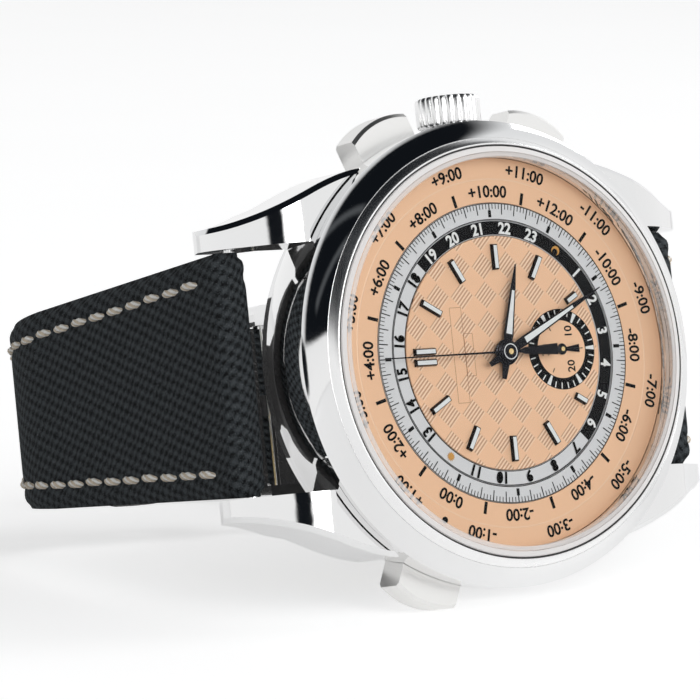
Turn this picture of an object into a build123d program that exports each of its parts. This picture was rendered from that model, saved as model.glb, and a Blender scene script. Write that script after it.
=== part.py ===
from build123d import *

import os
from math import cos, degrees, pi, radians, sin

os.makedirs("parts", exist_ok=True)

# A world time wristwatch with a flyback chronograph, lying on the side of its case with the crown up.
# Every piece is drawn with the dial face at height zero, 12 o'clock along +Y and 3 o'clock along +X,
# and the whole watch is laid down at the end. Lengths are in millimetres.

# Clearances
running_gap = 0.05
slide_gap = 0.08
overrun = 1.0

# Bezel and front glass
bezel_radius = 20.5
bezel_lip_radius = 18.2
bezel_ridge_radius = 18.85
bezel_lip_height = 1.55
bezel_ridge_height = 0.77
bezel_edge_height = 0.75
bezel_skirt = 0.55
bezel_groove = 0.2
bezel_groove_depth = 0.3
bezel_scoop = 0.12
glass_seat_height = 0.7
glass_gasket_width = 0.25
glass_thickness = 0.95
glass_dome = 0.9

# Case middle and lugs
case_depth = 6.8
case_top_radius = 20.4
case_bottom_radius = 19.2
case_bulge = 0.35
cavity_radius = 17.6
lug_gap = 21.4
lug_reach = 25.4
lug_tip_width = 1.9
lug_waist_width = 2.5
lug_root_width = 5.3
lug_top_drop = 0.45
lug_shoulder_drop = 3.4
lug_tip_drop = 6.4
lug_foot_drop = 8.1
lug_chamfer = 0.45
lug_root_share = 0.6
lug_core_share = 1.2
lug_shoulder_share = 0.75
lug_heel_share = 0.4
lug_foot_share = 1.6
lug_top_slope_share = 0.12
lug_tip_slope_share = 0.15
lug_join_angle = 12.0

# Case back
back_depth = 2.0
back_radius = 18.7
back_edge_chamfer = 0.5
back_glass_radius = 14.6
back_glass_thickness = 1.3
back_lip_width = 0.4
back_lip_depth = 0.3
back_gasket_radius = 17.9
back_gasket_width = 0.4
key_slot_count = 6
key_slot_width = 2.0
key_slot_depth = 0.4

# Dial stack
dial_radius = 10.25
day_ring_radius = 11.66
track_radius = 13.14
city_ring_radius = 17.12
dial_thickness = 0.6
carrier_thickness = 0.4
flange_foot_radius = 17.16
flange_top_radius = 17.4
flange_height = 0.5
counter_offset = 6.2
counter_radius = 3.66
counter_recess = 0.2

# Hour markers
marker_reach = 9.55
marker_length = 2.3
short_marker_length = 1.3
marker_width = 0.62
marker_height = 0.36
twin_marker_spacing = 0.95
hour_angle = 30.0
twelve_angle = 90.0
short_marker_hours = (5, 7)
bare_hour = 6

# Hands
hand_thickness = 0.16
hour_hand_height = 0.58
minute_hand_height = 0.82
seconds_hand_height = 1.06
counter_hand_height = 0.2
hour_hand_length = 7.85
minute_hand_length = 11.75
seconds_hand_length = 13.0
counter_hand_length = 2.9
hand_tip_width = 0.14
hour_hand_width = 0.98
minute_hand_width = 0.9
seconds_hand_width = 0.2
counter_hand_width = 0.34
hour_tail_length = 2.5
minute_tail_length = 2.3
seconds_tail_length = 5.1
counter_tail_length = 1.85
tail_root_width = 1.0
tail_tip_width = 0.42
seconds_tail_width = 1.0
counter_tail_width = 0.7
hour_hub_radius = 1.15
minute_hub_radius = 1.05
seconds_hub_radius = 0.9
counter_hub_radius = 0.5
seconds_shaft_radius = 0.25
cannon_radius = 0.55
hour_pipe_radius = 0.85
counter_shaft_radius = 0.2
shaft_cap = 0.1
hour_hand_time = 3.45
minute_hand_time = 5.12
hand_root_share = 0.42
hand_shoulder_share = 1.7
hand_waist_share = 0.7
hand_taper_share = 0.27

# Crown and its stem
stem_depth = 4.7
crown_radius = 2.875
crown_length = 2.8
crown_standoff = 0.25
crown_flute_count = 24
crown_flute_depth = 0.26
crown_chamfer = 0.3
stem_radius = 0.5
stem_end = 11.6
stem_groove_radius = 0.3
stem_groove_width = 0.5
stem_groove_offset = 0.9
tube_radius = 1.1
lever_width = 2.2

# Pushers
pusher_spread_angle = 22.5
pusher_width = 6.2
pusher_height = 3.0
pusher_rise = 2.0
pusher_bow = 0.7
pusher_seat = 0.5
pusher_travel = 0.8
pusher_stem_radius = 0.55
pusher_stem_end = 16.2
pusher_edge = 0.3

# Movement
movement_radius = 15.4
main_plate_thickness = 1.0
train_space = 2.3
bridge_thickness = 1.2
holder_height = 2.4
holder_gap = 0.1
tooth_height = 0.26
mesh_gap = 0.05
centre_pinion_teeth = 12
barrel_teeth = 72
barrel_pitch_radius = 5.7
barrel_drum_radius = 5.2
barrel_height = 1.5
barrel_tooth_width = 0.5
barrel_angle = 70.0
centre_wheel_teeth = 64
centre_wheel_pitch_radius = 4.0
centre_wheel_thickness = 0.25
third_pinion_teeth = 8
third_angle = 200.0
third_wheel_teeth = 48
third_wheel_radius = 3.1
wheel_thickness = 0.25
arbor_radius = 0.35
pivot_radius = 0.25
wheel_rim_width = 0.5
spoke_width = 0.45
wheel_spoke_count = 4
half_turn_angle = 180.0
foot_inset_share = 1.3
barrel_foot_angles = (18, 92, 160)
train_foot_angles = (190, 240, 272)
barrel_bridge_angles = (2, 174)
train_bridge_angles = (176, 292)

# Chronograph work on the back of the bridges
chrono_wheel_radius = 3.85
chrono_wheel_teeth = 72
counter_wheel_radius = 2.1
counter_wheel_teeth = 40
ratchet_radius = 2.35
ratchet_teeth = 36
ratchet_thickness = 0.3
column_wheel_radius = 1.8
column_wheel_teeth = 12
column_count = 6
column_height = 0.75
column_angle = 222.0
column_distance = 9.6
chrono_bridge_thickness = 0.45
chrono_bridge_width = 1.7
chrono_bridge_rise = 0.6
bridge_foot_radius = 0.9
chrono_spoke_count = 5
column_ring_share = 0.66
column_length_share = 0.4
column_width_share = 0.36
column_core_share = 0.3
chrono_hub_share = 1.2
chrono_foot_angle = 186.0
chrono_end_angle = 264.0

# Balance
balance_angle = -50.0
balance_distance = 9.6
balance_radius = 4.2
balance_rim_width = 0.5
balance_rim_height = 0.5
balance_well_gap = 0.6
balance_staff_radius = 0.2
cock_thickness = 0.9
cock_width = 2.6
cock_foot_angle = -14.0
balance_height_share = 0.6
balance_arm_count = 2

# Winding rotor
rotor_radius = 14.0
rotor_rim_width = 2.6
rotor_rim_height = 1.0
rotor_web_thickness = 0.35
rotor_sweep_angle = 172.0
rotor_rest_angle = 180.0
rotor_hub_radius = 2.6
bearing_radius = 1.65
bearing_height = 0.8
rotor_clearance = 0.25

# Jewels and screws
jewel_radius = 0.5
jewel_height = 0.3
screw_radius = 0.6
screw_height = 0.3
screw_shank_radius = 0.35
screw_slot_width = 0.18
screw_slot_depth = 0.12

# Strap
strap_end_width = 21.1
strap_bend_width = 17.9
strap_waist_width = 16.6
strap_buckle_width = 14.8
strap_waist_share = 0.37
strap_nose_radius = 2.3
strap_side_gap = 0.2
bar_inset = 3.1
bar_drop = 6.4
bar_radius = 0.7
bar_pivot_radius = 0.4
bar_pivot_length = 1.1
lining_share = 0.32
short_strap_thickness = 3.2
short_strap_straight = 30.0
short_strap_bend_radius = 16.6
short_strap_bend_angle = 92.0
short_strap_tail = 18.0
long_strap_splay_angle = 35.0
long_strap_thickness = 2.8
long_strap_straight = 36.0
long_strap_bend_radius = 24.0
long_strap_bend_angle = 120.0
long_strap_tail = 18.0
long_strap_tip_radius = 7.0
strap_hole_count = 6
strap_hole_radius = 0.85
strap_hole_spacing = 5.0
strap_hole_inset = 6.5
strap_middle_share = 0.5

# Buckle and keepers
buckle_wire_radius = 1.0
buckle_side_gap = 0.3
buckle_length = 11.0
buckle_bar_radius = 0.65
tongue_width = 2.0
tongue_thickness = 1.1
tongue_slot_gap = 0.15
tongue_slot_length = 8.0
tongue_overhang_share = 0.2
tongue_tip_share = 0.6
tongue_hub_radius = 1.25
keeper_thickness = 0.8
keeper_corner_radius = 1.2
keeper_width = 5.0
keeper_room = 0.2
fixed_keeper_inset = 6.5
sliding_keeper_inset = 15.0

# How the watch lies: tipped back until the pusher and the long strap's edge touch the table
lying_angle = 11.7

# Heights and radii that follow from the sizes above
case_top = -(bezel_edge_height + bezel_skirt + bezel_groove)
case_bottom = case_top - case_depth
back_face = case_bottom - back_depth
carrier_top = -dial_thickness
carrier_bottom = carrier_top - carrier_thickness
plate_bottom = carrier_bottom - main_plate_thickness
bridge_top = plate_bottom - train_space
bridge_bottom = bridge_top - bridge_thickness
stem_height = -stem_depth
glass_radius = bezel_lip_radius - glass_gasket_width
bar_place = (lug_reach - bar_inset, case_top - bar_drop)
flank_middle_radius = (case_top_radius + case_bottom_radius) / 2 + case_bulge

pieces = []


def keep(name, label):
    """Label a finished piece and put it with the rest of the watch."""
    name.part.label = label
    pieces.append(name.part)


def turned(angle, height=0.0):
    """A level plane whose X axis points at an angle, in degrees from 3 o'clock."""
    return Plane(origin=(0, 0, height), x_dir=(cos(radians(angle)), sin(radians(angle)), 0), z_dir=(0, 0, 1))


def spot(distance, angle):
    """A place on the movement, by its distance from the centre and its direction."""
    return (distance * cos(radians(angle)), distance * sin(radians(angle)))


def toothed_outline(pitch_radius, teeth, phase=0.0):
    """Points round a wheel with pointed teeth, half a tooth height each side of the pitch circle."""
    step = 2 * pi / teeth
    points = []
    for tooth in range(teeth):
        angle = radians(phase) + tooth * step
        tip = pitch_radius + tooth_height / 2
        root = pitch_radius - tooth_height / 2
        points.append((tip * cos(angle), tip * sin(angle)))
        points.append((root * cos(angle + step / 2), root * sin(angle + step / 2)))
    return points


def ring(outer_radius, inner_radius):
    """A flat ring, drawn in the sketch that is open."""
    Circle(outer_radius)
    Circle(inner_radius, mode=Mode.SUBTRACT)


# Case middle: a bowed band with four lugs, hollow for the movement
with BuildPart() as case_middle:
    lug_inner = lug_gap / 2
    with BuildSketch(Plane.XY.offset(case_bottom - overrun * 2)) as lug_plan:
        with BuildLine():
            corner = Line((lug_inner, 0), (lug_inner, lug_reach))
            tip = Line(corner @ 1, (lug_inner + lug_tip_width, lug_reach))
            waist = (lug_inner + lug_waist_width, lug_reach - bar_inset)
            root = (lug_inner + lug_root_width, lug_reach * lug_root_share)
            join = spot(bezel_radius, pusher_spread_angle + lug_join_angle)
            outer_side = Spline(tip @ 1, waist, root, join)
            Polyline(outer_side @ 1, (lug_inner * lug_core_share, 0), (lug_inner, 0))
        make_face()
        mirror(about=Plane.YZ)
        mirror(about=Plane.XZ)
    extrude(amount=case_depth + overrun * 2)
    with BuildSketch(Plane.YZ) as lug_side:
        with BuildLine():
            top_start = (0, case_top - lug_top_drop)
            top_join = (cavity_radius, case_top - lug_top_drop)
            tip_top = (lug_reach, case_top - lug_tip_drop)
            shoulder = (lug_reach - bar_inset * lug_shoulder_share, case_top - lug_shoulder_drop)
            foot_outer = (lug_reach - lug_tip_width * lug_heel_share, case_top - lug_foot_drop)
            foot_inner = (lug_reach - bar_inset * lug_foot_share, case_top - lug_foot_drop)
            Line(top_start, top_join)
            lug_slopes = ((1, -lug_top_slope_share), (lug_tip_slope_share, -1))
            Spline(top_join, shoulder, tip_top, tangents=lug_slopes)
            Line(tip_top, foot_outer)
            Line(foot_outer, foot_inner)
            Polyline(foot_inner, (case_bottom_radius, case_bottom), (0, case_bottom), top_start)
        make_face()
        mirror(about=Plane.YZ)
    extrude(amount=bezel_radius, both=True, mode=Mode.INTERSECT)
    # A polished bevel along the outer top edge of each lug
    bevel_edges = []
    for edge in case_middle.edges():
        middle = edge.center()
        outside = abs(middle.X) > lug_inner + lug_tip_width
        runs_along = edge.bounding_box().size.Y > lug_tip_width
        if outside and runs_along and middle.Z > case_bottom:
            bevel_edges.append(edge)
    chamfer(bevel_edges, lug_chamfer)
    with BuildSketch(Plane.XZ) as band:
        with BuildLine():
            ThreePointArc(
                (case_top_radius, case_top),
                (flank_middle_radius, (case_top + case_bottom) / 2),
                (case_bottom_radius, case_bottom),
            )
            Polyline(
                (case_bottom_radius, case_bottom),
                (0, case_bottom),
                (0, case_top),
                (case_top_radius, case_top),
            )
        make_face()
    revolve(axis=Axis.Z)
    with BuildSketch(Plane.XY.offset(case_bottom - overrun)):
        Circle(cavity_radius)
    extrude(amount=case_depth + overrun * 2, mode=Mode.SUBTRACT)
    # Bore for the crown tube
    with BuildSketch(Plane.YZ.offset(cavity_radius - overrun)):
        with Locations((0, stem_height)):
            Circle(tube_radius)
    extrude(amount=bezel_radius, mode=Mode.SUBTRACT)
    # A pocket and a stem bore for each pusher
    for angle in (pusher_spread_angle, -pusher_spread_angle, half_turn_angle - pusher_spread_angle):
        pocket_floor = flank_middle_radius - pusher_seat - pusher_travel - slide_gap
        with BuildSketch(turned(angle, stem_height - pusher_height / 2 - slide_gap)):
            with Locations((pocket_floor + bezel_radius / 2, 0)):
                Rectangle(bezel_radius, pusher_width + slide_gap * 2)
        extrude(amount=pusher_height + slide_gap * 2, mode=Mode.SUBTRACT)
        bore_plane = Plane(
            origin=(*spot(cavity_radius - overrun, angle), stem_height),
            x_dir=(0, 0, 1),
            z_dir=(*spot(1, angle), 0),
        )
        with BuildSketch(bore_plane):
            Circle(pusher_stem_radius + running_gap)
        extrude(amount=bezel_radius - cavity_radius + overrun, mode=Mode.SUBTRACT)
    # Holes for the pivots of the spring bars
    with BuildSketch(Plane.YZ):
        with Locations(bar_place, (-bar_place[0], bar_place[1])):
            Circle(bar_pivot_radius)
    extrude(amount=lug_inner + bar_pivot_length, both=True, mode=Mode.SUBTRACT)
keep(case_middle, "case_middle")

# Bezel: a polished sloping ring that carries the glass
with BuildPart() as bezel:
    with BuildSketch(Plane.XZ):
        with BuildLine():
            slope_start = (bezel_radius, -bezel_edge_height)
            slope_end = (bezel_ridge_radius, bezel_ridge_height)
            slope_middle = (
                (slope_start[0] + slope_end[0]) / 2 - bezel_scoop,
                (slope_start[1] + slope_end[1]) / 2 - bezel_scoop,
            )
            Polyline(
                (cavity_radius, case_top),
                (bezel_radius - bezel_groove_depth, case_top),
                (bezel_radius - bezel_groove_depth, case_top + bezel_groove),
                (bezel_radius, case_top + bezel_groove),
                slope_start,
            )
            ThreePointArc(slope_start, slope_middle, slope_end)
            Polyline(
                slope_end,
                (bezel_lip_radius, bezel_lip_height),
                (bezel_lip_radius, glass_seat_height),
                (cavity_radius, glass_seat_height),
                (cavity_radius, case_top),
            )
        make_face()
    revolve(axis=Axis.Z)
keep(bezel, "bezel")

# Gasket round the front glass
with BuildPart() as front_gasket:
    with BuildSketch(Plane.XY.offset(glass_seat_height)):
        ring(bezel_lip_radius, glass_radius)
    extrude(amount=bezel_lip_height - glass_seat_height)
keep(front_gasket, "front_gasket")

# Front glass: a shallow dome, as thick at the middle as at the edge
with BuildPart() as front_glass:
    edge_top = glass_seat_height + glass_thickness
    with BuildSketch(Plane.XZ):
        with BuildLine():
            upper = ThreePointArc(
                (-glass_radius, edge_top),
                (0, edge_top + glass_dome),
                (glass_radius, edge_top),
            )
            wall = Line(upper @ 1, (glass_radius, glass_seat_height))
            lower = ThreePointArc(
                wall @ 1,
                (0, glass_seat_height + glass_dome),
                (-glass_radius, glass_seat_height),
            )
            Line(lower @ 1, upper @ 0)
        make_face()
        with Locations((-bezel_radius / 2, 0)):
            Rectangle(bezel_radius, bezel_radius, mode=Mode.SUBTRACT)
    revolve(axis=Axis.Z)
keep(front_glass, "front_glass")

# Flange ring: the sloped wall between the glass and the dial
with BuildPart() as flange_ring:
    with BuildSketch(Plane.XZ):
        Polygon(
            (flange_foot_radius, carrier_top),
            (cavity_radius - running_gap, carrier_top),
            (cavity_radius - running_gap, flange_height),
            (flange_top_radius, flange_height),
            (flange_foot_radius, 0),
            align=None,
        )
    revolve(axis=Axis.Z)
keep(flange_ring, "flange_ring")

# Dial carrier: the plate under every dial piece
with BuildPart() as dial_carrier:
    with BuildSketch(Plane.XY.offset(carrier_bottom)):
        ring(cavity_radius - running_gap, hour_pipe_radius + running_gap)
        with Locations((0, -counter_offset)):
            Circle(counter_shaft_radius + running_gap, mode=Mode.SUBTRACT)
    extrude(amount=carrier_thickness)
keep(dial_carrier, "dial_carrier")

# Dial centre, with a shallow recess for the counter's own dial
with BuildPart() as dial_centre:
    with BuildSketch(Plane.XY.offset(carrier_top)):
        ring(dial_radius, hour_pipe_radius + running_gap)
        with Locations((0, -counter_offset)):
            Circle(counter_shaft_radius + running_gap, mode=Mode.SUBTRACT)
    extrude(amount=dial_thickness)
    with BuildSketch(Plane.XY.offset(-counter_recess)):
        with Locations((0, -counter_offset)):
            Circle(counter_radius)
    extrude(amount=counter_recess, mode=Mode.SUBTRACT)
keep(dial_centre, "dial_centre")

with BuildPart() as counter_dial:
    with BuildSketch(Plane.XY.offset(-counter_recess)):
        with Locations((0, -counter_offset)):
            Circle(counter_radius)
            Circle(counter_shaft_radius + running_gap, mode=Mode.SUBTRACT)
    extrude(amount=counter_recess)
keep(counter_dial, "counter_dial")

# The 24-hour ring turns once a day between the dial centre and the minute track
with BuildPart() as day_ring:
    with BuildSketch(Plane.XY.offset(carrier_top + running_gap)):
        ring(day_ring_radius - running_gap, dial_radius + running_gap)
    extrude(amount=dial_thickness - running_gap * 2)
keep(day_ring, "day_ring")

with BuildPart() as minute_track:
    with BuildSketch(Plane.XY.offset(carrier_top)):
        ring(track_radius, day_ring_radius)
    extrude(amount=dial_thickness)
keep(minute_track, "minute_track")

# The outer zone ring is stepped round by the pusher at 10 o'clock
with BuildPart() as zone_ring:
    with BuildSketch(Plane.XY.offset(carrier_top + running_gap)):
        ring(city_ring_radius, track_radius + running_gap)
    extrude(amount=dial_thickness - running_gap * 2)
keep(zone_ring, "zone_ring")

# Hour markers: one baton an hour, two at 12, short ones beside the counter, none at 6
with BuildPart() as hour_markers:
    for hour in range(1, 12):
        if hour == bare_hour:
            continue
        length = short_marker_length if hour in short_marker_hours else marker_length
        with BuildSketch(turned(twelve_angle - hour_angle * hour)):
            with Locations((marker_reach - length / 2, 0)):
                Rectangle(length, marker_width)
        extrude(amount=marker_height)
    with BuildSketch(turned(twelve_angle)):
        with GridLocations(0, twin_marker_spacing, 1, 2):
            with Locations((marker_reach - marker_length / 2, 0)):
                Rectangle(marker_length, marker_width)
    extrude(amount=marker_height)
keep(hour_markers, "hour_markers")

# Angles of the hands at the time shown, in degrees from 3 o'clock
hour_hand_angle = twelve_angle - hour_angle * hour_hand_time
minute_hand_angle = twelve_angle - hour_angle * minute_hand_time


def pointed_hand(length, width, tail_length):
    """A tapered hand along +X with a narrowing tail, drawn in the sketch that is open."""
    Polygon(
        (width, width * hand_root_share),
        (width * hand_shoulder_share, width / 2),
        (length * hand_waist_share, width * hand_taper_share),
        (length, hand_tip_width / 2),
        (length, -hand_tip_width / 2),
        (length * hand_waist_share, -width * hand_taper_share),
        (width * hand_shoulder_share, -width / 2),
        (width, -width * hand_root_share),
        (-tail_length, -tail_tip_width / 2),
        (-tail_length, tail_tip_width / 2),
        align=None,
    )
    Polygon(
        (0, tail_root_width / 2),
        (0, -tail_root_width / 2),
        (-tail_length, -tail_tip_width / 2),
        (-tail_length, tail_tip_width / 2),
        align=None,
    )


with BuildPart() as hour_hand:
    with BuildSketch(turned(hour_hand_angle, hour_hand_height - hand_thickness)):
        pointed_hand(hour_hand_length, hour_hand_width, hour_tail_length)
        Circle(hour_hub_radius)
    extrude(amount=hand_thickness)
    with BuildSketch(Plane.XY.offset(carrier_bottom)):
        Circle(hour_pipe_radius)
    extrude(amount=hour_hand_height - carrier_bottom)
    with BuildSketch(Plane.XY.offset(carrier_bottom)):
        Circle(cannon_radius + running_gap)
    extrude(amount=hour_hand_height - carrier_bottom, mode=Mode.SUBTRACT)
keep(hour_hand, "hour_hand")

with BuildPart() as minute_hand:
    with BuildSketch(turned(minute_hand_angle, minute_hand_height - hand_thickness)):
        pointed_hand(minute_hand_length, minute_hand_width, minute_tail_length)
        Circle(minute_hub_radius)
        Circle(cannon_radius, mode=Mode.SUBTRACT)
    extrude(amount=hand_thickness)
keep(minute_hand, "minute_hand")

with BuildPart() as seconds_hand:
    with BuildSketch(turned(twelve_angle, seconds_hand_height - hand_thickness)):
        Polygon(
            (0, seconds_hand_width),
            (seconds_hand_length, hand_tip_width / 2),
            (seconds_hand_length, -hand_tip_width / 2),
            (0, -seconds_hand_width),
            (-seconds_tail_length, -seconds_tail_width / 2),
            (-seconds_tail_length, seconds_tail_width / 2),
            align=None,
        )
        Circle(seconds_hub_radius)
        Circle(seconds_shaft_radius, mode=Mode.SUBTRACT)
    extrude(amount=hand_thickness)
keep(seconds_hand, "seconds_hand")

with BuildPart() as counter_hand:
    counter_plane = Plane(
        origin=(0, -counter_offset, counter_hand_height - hand_thickness / 2),
        x_dir=(0, 1, 0),
        z_dir=(0, 0, 1),
    )
    with BuildSketch(counter_plane):
        Polygon(
            (0, counter_hand_width / 2),
            (counter_hand_length, hand_tip_width / 2),
            (counter_hand_length, -hand_tip_width / 2),
            (0, -counter_hand_width / 2),
            (-counter_tail_length, -counter_tail_width / 2),
            (-counter_tail_length, counter_tail_width / 2),
            align=None,
        )
        Circle(counter_hub_radius)
        Circle(counter_shaft_radius, mode=Mode.SUBTRACT)
    extrude(amount=hand_thickness / 2)
keep(counter_hand, "counter_hand")

# Movement holder and main plate
with BuildPart() as movement_holder:
    with BuildSketch(Plane.XY.offset(carrier_bottom - holder_height)):
        ring(cavity_radius - running_gap, movement_radius)
    extrude(amount=holder_height)
keep(movement_holder, "movement_holder")

barrel_distance = barrel_pitch_radius * (1 + centre_pinion_teeth / barrel_teeth) + mesh_gap
barrel_place = spot(barrel_distance, barrel_angle)
centre_pinion_radius = barrel_pitch_radius * centre_pinion_teeth / barrel_teeth
third_pinion_radius = centre_wheel_pitch_radius * third_pinion_teeth / centre_wheel_teeth
third_place = spot(centre_wheel_pitch_radius + third_pinion_radius + mesh_gap, third_angle)
balance_place = spot(balance_distance, balance_angle)
column_place = spot(column_distance, column_angle)
counter_place = (0, -counter_offset)

with BuildPart() as main_plate:
    with BuildSketch(Plane.XY.offset(plate_bottom)):
        ring(movement_radius, hour_pipe_radius + running_gap)
        with Locations(counter_place):
            Circle(counter_shaft_radius + running_gap, mode=Mode.SUBTRACT)
        with Locations(barrel_place, third_place, balance_place):
            Circle(pivot_radius + running_gap, mode=Mode.SUBTRACT)
    extrude(amount=main_plate_thickness)
keep(main_plate, "main_plate")

# Going train between the main plate and the bridges
with BuildPart() as barrel:
    barrel_top = plate_bottom - running_gap * 2
    with BuildSketch(Plane.XY.offset(barrel_top - barrel_tooth_width)):
        with Locations(barrel_place):
            Polygon(*toothed_outline(barrel_pitch_radius, barrel_teeth, barrel_angle), align=None)
    extrude(amount=barrel_tooth_width)
    with BuildSketch(Plane.XY.offset(barrel_top - barrel_height)):
        with Locations(barrel_place):
            Circle(barrel_drum_radius)
    extrude(amount=barrel_height)
    with BuildSketch(Plane.XY.offset(plate_bottom + main_plate_thickness / 2)):
        with Locations(barrel_place):
            Circle(pivot_radius)
    extrude(amount=-main_plate_thickness)
keep(barrel, "barrel")

with BuildPart() as centre_wheel:
    pinion_top = plate_bottom - running_gap * 2
    centre_wheel_bottom = bridge_top + running_gap * 4
    pinion_phase = barrel_angle + half_turn_angle / centre_pinion_teeth
    with BuildSketch(Plane.XY.offset(centre_wheel_bottom)):
        Polygon(*toothed_outline(centre_pinion_radius, centre_pinion_teeth, pinion_phase), align=None)
    extrude(amount=pinion_top - centre_wheel_bottom)
    with BuildSketch(Plane.XY.offset(centre_wheel_bottom)):
        Polygon(*toothed_outline(centre_wheel_pitch_radius, centre_wheel_teeth, third_angle), align=None)
        Circle(centre_wheel_pitch_radius - wheel_rim_width, mode=Mode.SUBTRACT)
        with PolarLocations(0, wheel_spoke_count):
            Rectangle(centre_wheel_pitch_radius * 2 - wheel_rim_width, spoke_width)
    extrude(amount=centre_wheel_thickness)
    with BuildSketch(Plane.XY.offset(pinion_top)):
        Circle(cannon_radius)
    extrude(amount=minute_hand_height - pinion_top)
    with BuildSketch(Plane.XY.offset(centre_wheel_bottom)):
        Circle(seconds_shaft_radius + running_gap)
    extrude(amount=minute_hand_height - centre_wheel_bottom, mode=Mode.SUBTRACT)
keep(centre_wheel, "centre_wheel")

with BuildPart() as third_wheel:
    third_phase = third_angle + half_turn_angle + half_turn_angle / third_pinion_teeth
    third_arbor_top = plate_bottom - running_gap * 2
    with BuildSketch(Plane.XY.offset(bridge_top + running_gap)):
        with Locations(third_place):
            Polygon(*toothed_outline(third_pinion_radius, third_pinion_teeth, third_phase), align=None)
    extrude(amount=third_arbor_top - bridge_top - running_gap)
    with BuildSketch(Plane.XY.offset(third_arbor_top - wheel_thickness * 2)):
        with Locations(third_place):
            Polygon(*toothed_outline(third_wheel_radius, third_wheel_teeth), align=None)
            Circle(third_wheel_radius - wheel_rim_width, mode=Mode.SUBTRACT)
            with PolarLocations(0, wheel_spoke_count):
                Rectangle(third_wheel_radius * 2 - wheel_rim_width, spoke_width)
    extrude(amount=wheel_thickness)
    with BuildSketch(Plane.XY.offset(bridge_bottom + jewel_height)):
        with Locations(third_place):
            Circle(pivot_radius)
    extrude(amount=plate_bottom + main_plate_thickness / 2 - bridge_bottom - jewel_height)
keep(third_wheel, "third_wheel")

# Bridges over the train, in two plates with an open well for the balance
stem_notch = lever_width / 2 + slide_gap * 3
balance_well = balance_radius + balance_well_gap


def bridge_outline(first_angle, last_angle):
    """A part of the round movement between two directions, drawn in the sketch that is open."""
    middle = (first_angle + last_angle) / 2
    reach = movement_radius * 3
    Circle(movement_radius - holder_gap)
    Polygon(
        (0, 0),
        spot(reach, first_angle),
        spot(reach, middle),
        spot(reach, last_angle),
        align=None,
        mode=Mode.INTERSECT,
    )
    Circle(cannon_radius + running_gap * 3, mode=Mode.SUBTRACT)
    with Locations((movement_radius, 0)):
        Rectangle((movement_radius - stem_end + overrun) * 2, stem_notch * 2, mode=Mode.SUBTRACT)
    with Locations(balance_place):
        Circle(balance_well, mode=Mode.SUBTRACT)


def feet(*places):
    """Round feet from a bridge down to the main plate."""
    with BuildSketch(Plane.XY.offset(bridge_top)) as foot_circles:
        with Locations(*places):
            Circle(bridge_foot_radius)
    extrude(foot_circles.sketch, amount=plate_bottom - bridge_top)


def sunk(radius, depth, *places):
    """Round recesses cut into the back face of a bridge."""
    with BuildSketch(Plane.XY.offset(bridge_bottom)) as recess_circles:
        with Locations(*places):
            Circle(radius)
    extrude(recess_circles.sketch, amount=depth, mode=Mode.SUBTRACT)


foot_ring = movement_radius - holder_gap - bridge_foot_radius * foot_inset_share
barrel_bridge_feet = [spot(foot_ring, angle) for angle in barrel_foot_angles]
train_bridge_feet = [spot(foot_ring, angle) for angle in train_foot_angles]
cock_foot = spot(foot_ring, cock_foot_angle)
ratchet_seat = running_gap * 2

with BuildPart() as barrel_bridge:
    with BuildSketch(Plane.XY.offset(bridge_bottom)):
        bridge_outline(*barrel_bridge_angles)
        with Locations(barrel_place):
            Circle(pivot_radius + running_gap, mode=Mode.SUBTRACT)
    extrude(amount=bridge_thickness)
    feet(*barrel_bridge_feet)
    sunk(screw_radius, screw_height, *barrel_bridge_feet)
    sunk(screw_shank_radius, bridge_thickness, *barrel_bridge_feet)
keep(barrel_bridge, "barrel_bridge")

with BuildPart() as train_bridge:
    with BuildSketch(Plane.XY.offset(bridge_bottom)):
        bridge_outline(*train_bridge_angles)
        with Locations(counter_place):
            Circle(counter_shaft_radius + running_gap, mode=Mode.SUBTRACT)
        with Locations(column_place):
            Circle(pivot_radius + running_gap, mode=Mode.SUBTRACT)
    extrude(amount=bridge_thickness)
    feet(*train_bridge_feet)
    sunk(screw_radius, screw_height, *train_bridge_feet)
    sunk(screw_shank_radius, bridge_thickness, *train_bridge_feet)
    sunk(jewel_radius, jewel_height, third_place)
    sunk(pivot_radius + running_gap, bridge_thickness, third_place)
keep(train_bridge, "train_bridge")

# Screws and jewels
with BuildPart() as bridge_screws:
    screw_places = barrel_bridge_feet + train_bridge_feet
    with BuildSketch(Plane.XY.offset(bridge_bottom)):
        with Locations(*screw_places):
            Circle(screw_radius)
    extrude(amount=screw_height)
    with BuildSketch(Plane.XY.offset(bridge_bottom + screw_height)):
        with Locations(*screw_places):
            Circle(screw_shank_radius)
    extrude(amount=bridge_thickness - screw_height)
    with BuildSketch(Plane.XY.offset(bridge_bottom)):
        with Locations(*screw_places):
            Rectangle(screw_radius * 2, screw_slot_width)
    extrude(amount=screw_slot_depth, mode=Mode.SUBTRACT)
keep(bridge_screws, "bridge_screws")

with BuildPart() as train_jewel:
    with BuildSketch(Plane.XY.offset(bridge_bottom)):
        with Locations(third_place):
            Circle(jewel_radius)
    extrude(amount=jewel_height)
keep(train_jewel, "train_jewel")

# Toothed wheels on the back of the bridges
chrono_wheel_top = bridge_bottom - running_gap * 2
with BuildPart() as chronograph_wheel:
    with BuildSketch(Plane.XY.offset(chrono_wheel_top - wheel_thickness)):
        Polygon(*toothed_outline(chrono_wheel_radius, chrono_wheel_teeth), align=None)
        Circle(chrono_wheel_radius - wheel_rim_width, mode=Mode.SUBTRACT)
        with PolarLocations(0, chrono_spoke_count):
            with Locations((chrono_wheel_radius / 2, 0)):
                Rectangle(chrono_wheel_radius - wheel_rim_width / 2, spoke_width)
        Circle(hour_pipe_radius)
    extrude(amount=wheel_thickness)
    with BuildSketch(Plane.XY.offset(chrono_wheel_top)):
        Circle(seconds_shaft_radius)
    extrude(amount=seconds_hand_height + shaft_cap - chrono_wheel_top)
keep(chronograph_wheel, "chronograph_wheel")

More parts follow.
